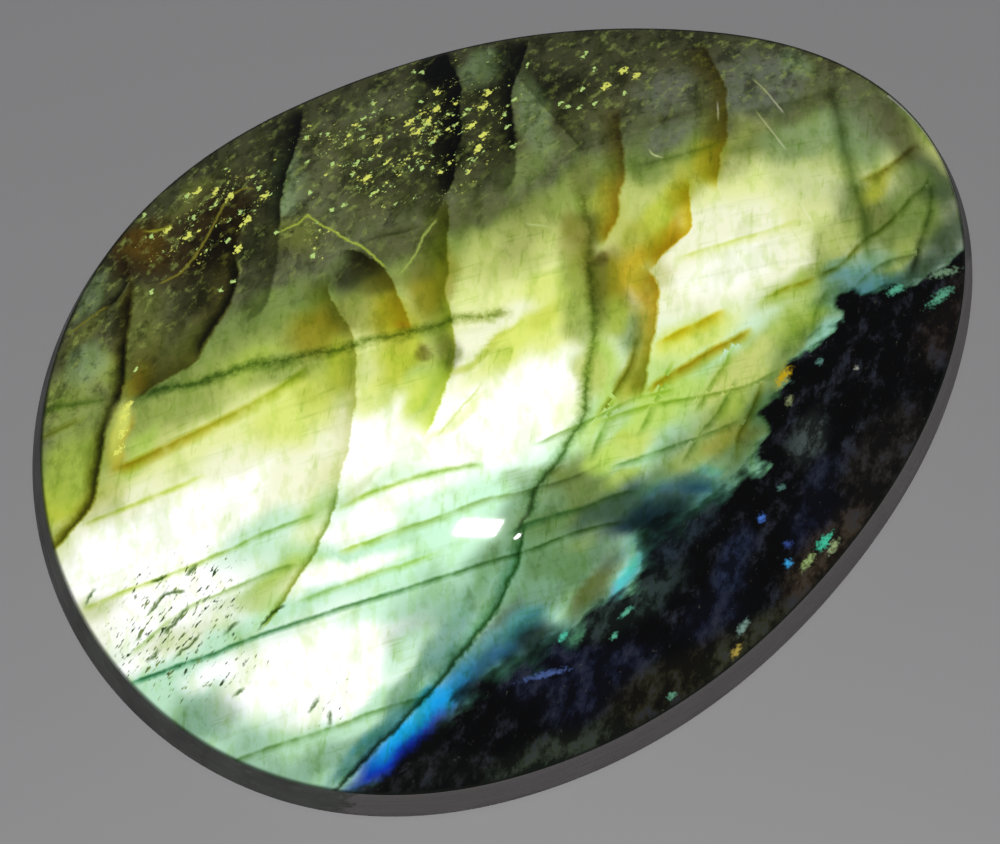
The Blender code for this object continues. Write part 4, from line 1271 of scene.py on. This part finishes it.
FACE_SLOT, GIRDLE_SLOT, BACK_SLOT = range(3)
UPWARD = 0.5  # the face's normals rise more than this, and the back's fall more than this
for polygon in mesh.polygons:
    if polygon.normal.z < -UPWARD:
        polygon.material_index = BACK_SLOT
    elif polygon.normal.z < UPWARD and polygon.center.z < GIRDLE_TOP * MM:
        polygon.material_index = GIRDLE_SLOT
    else:
        polygon.material_index = FACE_SLOT

# One map over the whole stone: the face fills the most of it as seen from above, the back is
# drawn small below it, and the girdle lies beside the back in four strips.
MAP_WIDTH = 41.0  # how many millimetres of the face go across the map
FACE_MIDDLE = (0.5, 0.625)  # where the middle of the face is on the map
BACK_SCALE = 0.28  # how small the back is drawn beside the face
BACK_CORNER = (0.30, -0.055)  # how far it is moved from the map's corner
STRIPS = 4  # how many strips the girdle is cut into
STRIP_CORNER = (0.33, 0.015)  # where the first one starts
STRIP_SIZE = (0.64, 0.045)  # each one's length and height
STRIP_STEP = 0.058  # from one strip to the next
corner_places = positions[corner_vertex]
corner_slot = np.array([polygon.material_index for polygon in mesh.polygons])[corner_face]
face_map = corner_places[:, :2] / MAP_WIDTH + FACE_MIDDLE
back_map = face_map * (-BACK_SCALE, BACK_SCALE) + BACK_CORNER
corner_turn = np.arctan2(corner_places[:, 1], corner_places[:, 0]) / (2 * math.pi)
face_centre = np.column_stack([np.bincount(corner_face, corner_places[:, axis]) for axis in range(3)])
face_turn = np.arctan2(face_centre[:, 1], face_centre[:, 0])[corner_face] / (2 * math.pi)
corner_turn += np.round(face_turn - corner_turn)
strip = np.floor((face_turn + 0.5) * STRIPS)
along_strip = (corner_turn + 0.5) * STRIPS - strip
in_strip = np.column_stack((along_strip, corner_places[:, 2] / GIRDLE_TOP))
strip_places = np.column_stack((np.zeros(len(strip)), STRIP_STEP * strip))
girdle_map = STRIP_CORNER + strip_places + STRIP_SIZE * in_strip
corner_map = np.where(corner_slot[:, None] == FACE_SLOT, face_map, girdle_map)
corner_map = np.where(corner_slot[:, None] == BACK_SLOT, back_map, corner_map)
for layer in list(mesh.uv_layers):
    mesh.uv_layers.remove(layer)
uv_layer = mesh.uv_layers.new(name="OFBake")
uv_layer.data.foreach_set("uv", corner_map.astype(np.float32).ravel())


# ---------------------------------------------------------------------------------------
# The studio: a plain pale floor, a small lamp beside the camera and two soft side lights
# ---------------------------------------------------------------------------------------

FLOOR_GREY = (0.137, 0.134, 0.137, 1)
FLOOR_SIZE = 1.5
FLOOR_GAP = 0.02 * MM  # how far the stone stands above it, so that they don't flicker

bpy.ops.object.select_all(action="DESELECT")
bpy.ops.mesh.primitive_plane_add(size=FLOOR_SIZE, location=(0, 0, -FLOOR_GAP))
floor = bpy.context.object
floor.name = "floor"
floor_material = bpy.data.materials.new("pale floor")
floor_material.use_nodes = True
floor_shader = floor_material.node_tree.nodes["Principled BSDF"]
floor_shader.inputs["Base Color"].default_value = FLOOR_GREY
floor_shader.inputs["Roughness"].default_value = 0.5
floor.data.materials.append(floor_material)


def add_light(name, size, place, aim, power, roll=0.0):
    """A rectangular area light that shines at a point, rolled by some degrees about its beam."""
    data = bpy.data.lights.new(name, "AREA")
    data.shape = "RECTANGLE"
    data.size, data.size_y = size
    data.energy = power
    lamp = bpy.data.objects.new(name, data)
    lamp.location = place
    aimed = (Vector(aim) - Vector(place)).to_track_quat("-Z", "Y").to_matrix()
    lamp.rotation_euler = (aimed @ Matrix.Rotation(math.radians(roll), 3, "Z")).to_euler()
    bpy.context.scene.collection.objects.link(lamp)


# Sizes and places in metres, and each light's power in watts.
DOME = (0, 0, 0.005)
FOOT = (0, 0, 0)
LAMP_SIZE = (0.042, 0.015)
LAMP_PLACE = (-0.0258, -0.0581, 0.4019)
SMALL_SIZE = (0.005, 0.003)
SMALL_PLACE = (-0.0024, -0.0990, 0.3949)
BOX_SIZE = (0.5, 0.12)
add_light("lamp by the camera", LAMP_SIZE, LAMP_PLACE, DOME, power=1.9, roll=-26)
add_light("small lamp", SMALL_SIZE, SMALL_PLACE, DOME, power=0.006, roll=30)
add_light("left softbox", BOX_SIZE, (-0.8, 0.1, 0.12), FOOT, power=0.6)
add_light("right softbox", BOX_SIZE, (0.8, 0.1, 0.12), FOOT, power=0.6)

ROOM_COLOUR = (0.9, 0.92, 1.0, 1)
ROOM_LIGHT = 0.10
world = bpy.data.worlds.new("studio")
world.use_nodes = True
background = world.node_tree.nodes["Background"].inputs
background["Color"].default_value = ROOM_COLOUR
background["Strength"].default_value = ROOM_LIGHT
bpy.context.scene.world = world
bpy.context.scene.view_settings.view_transform = "Standard"


# ---------------------------------------------------------------------------------------
# The camera, looking down on the dome from its long side
# ---------------------------------------------------------------------------------------

CAMERA_DISTANCE = 180 * MM
CAMERA_AZIMUTH = math.radians(-33)
CAMERA_ELEVATION = math.radians(75)
CAMERA_AIM = Vector((-1.1265, -0.7069, 0)) * MM
CAMERA_LENS = 162

camera_data = bpy.data.cameras.new("camera")
camera_data.lens = CAMERA_LENS
camera = bpy.data.objects.new("camera", camera_data)
flat = math.cos(CAMERA_ELEVATION)
away = Vector((
    math.sin(CAMERA_AZIMUTH) * flat,
    -math.cos(CAMERA_AZIMUTH) * flat,
    math.sin(CAMERA_ELEVATION),
))
camera.location = CAMERA_AIM + away * CAMERA_DISTANCE
camera.rotation_euler = (-away).to_track_quat("-Z", "Y").to_euler()
bpy.context.scene.collection.objects.link(camera)
bpy.context.scene.camera = camera
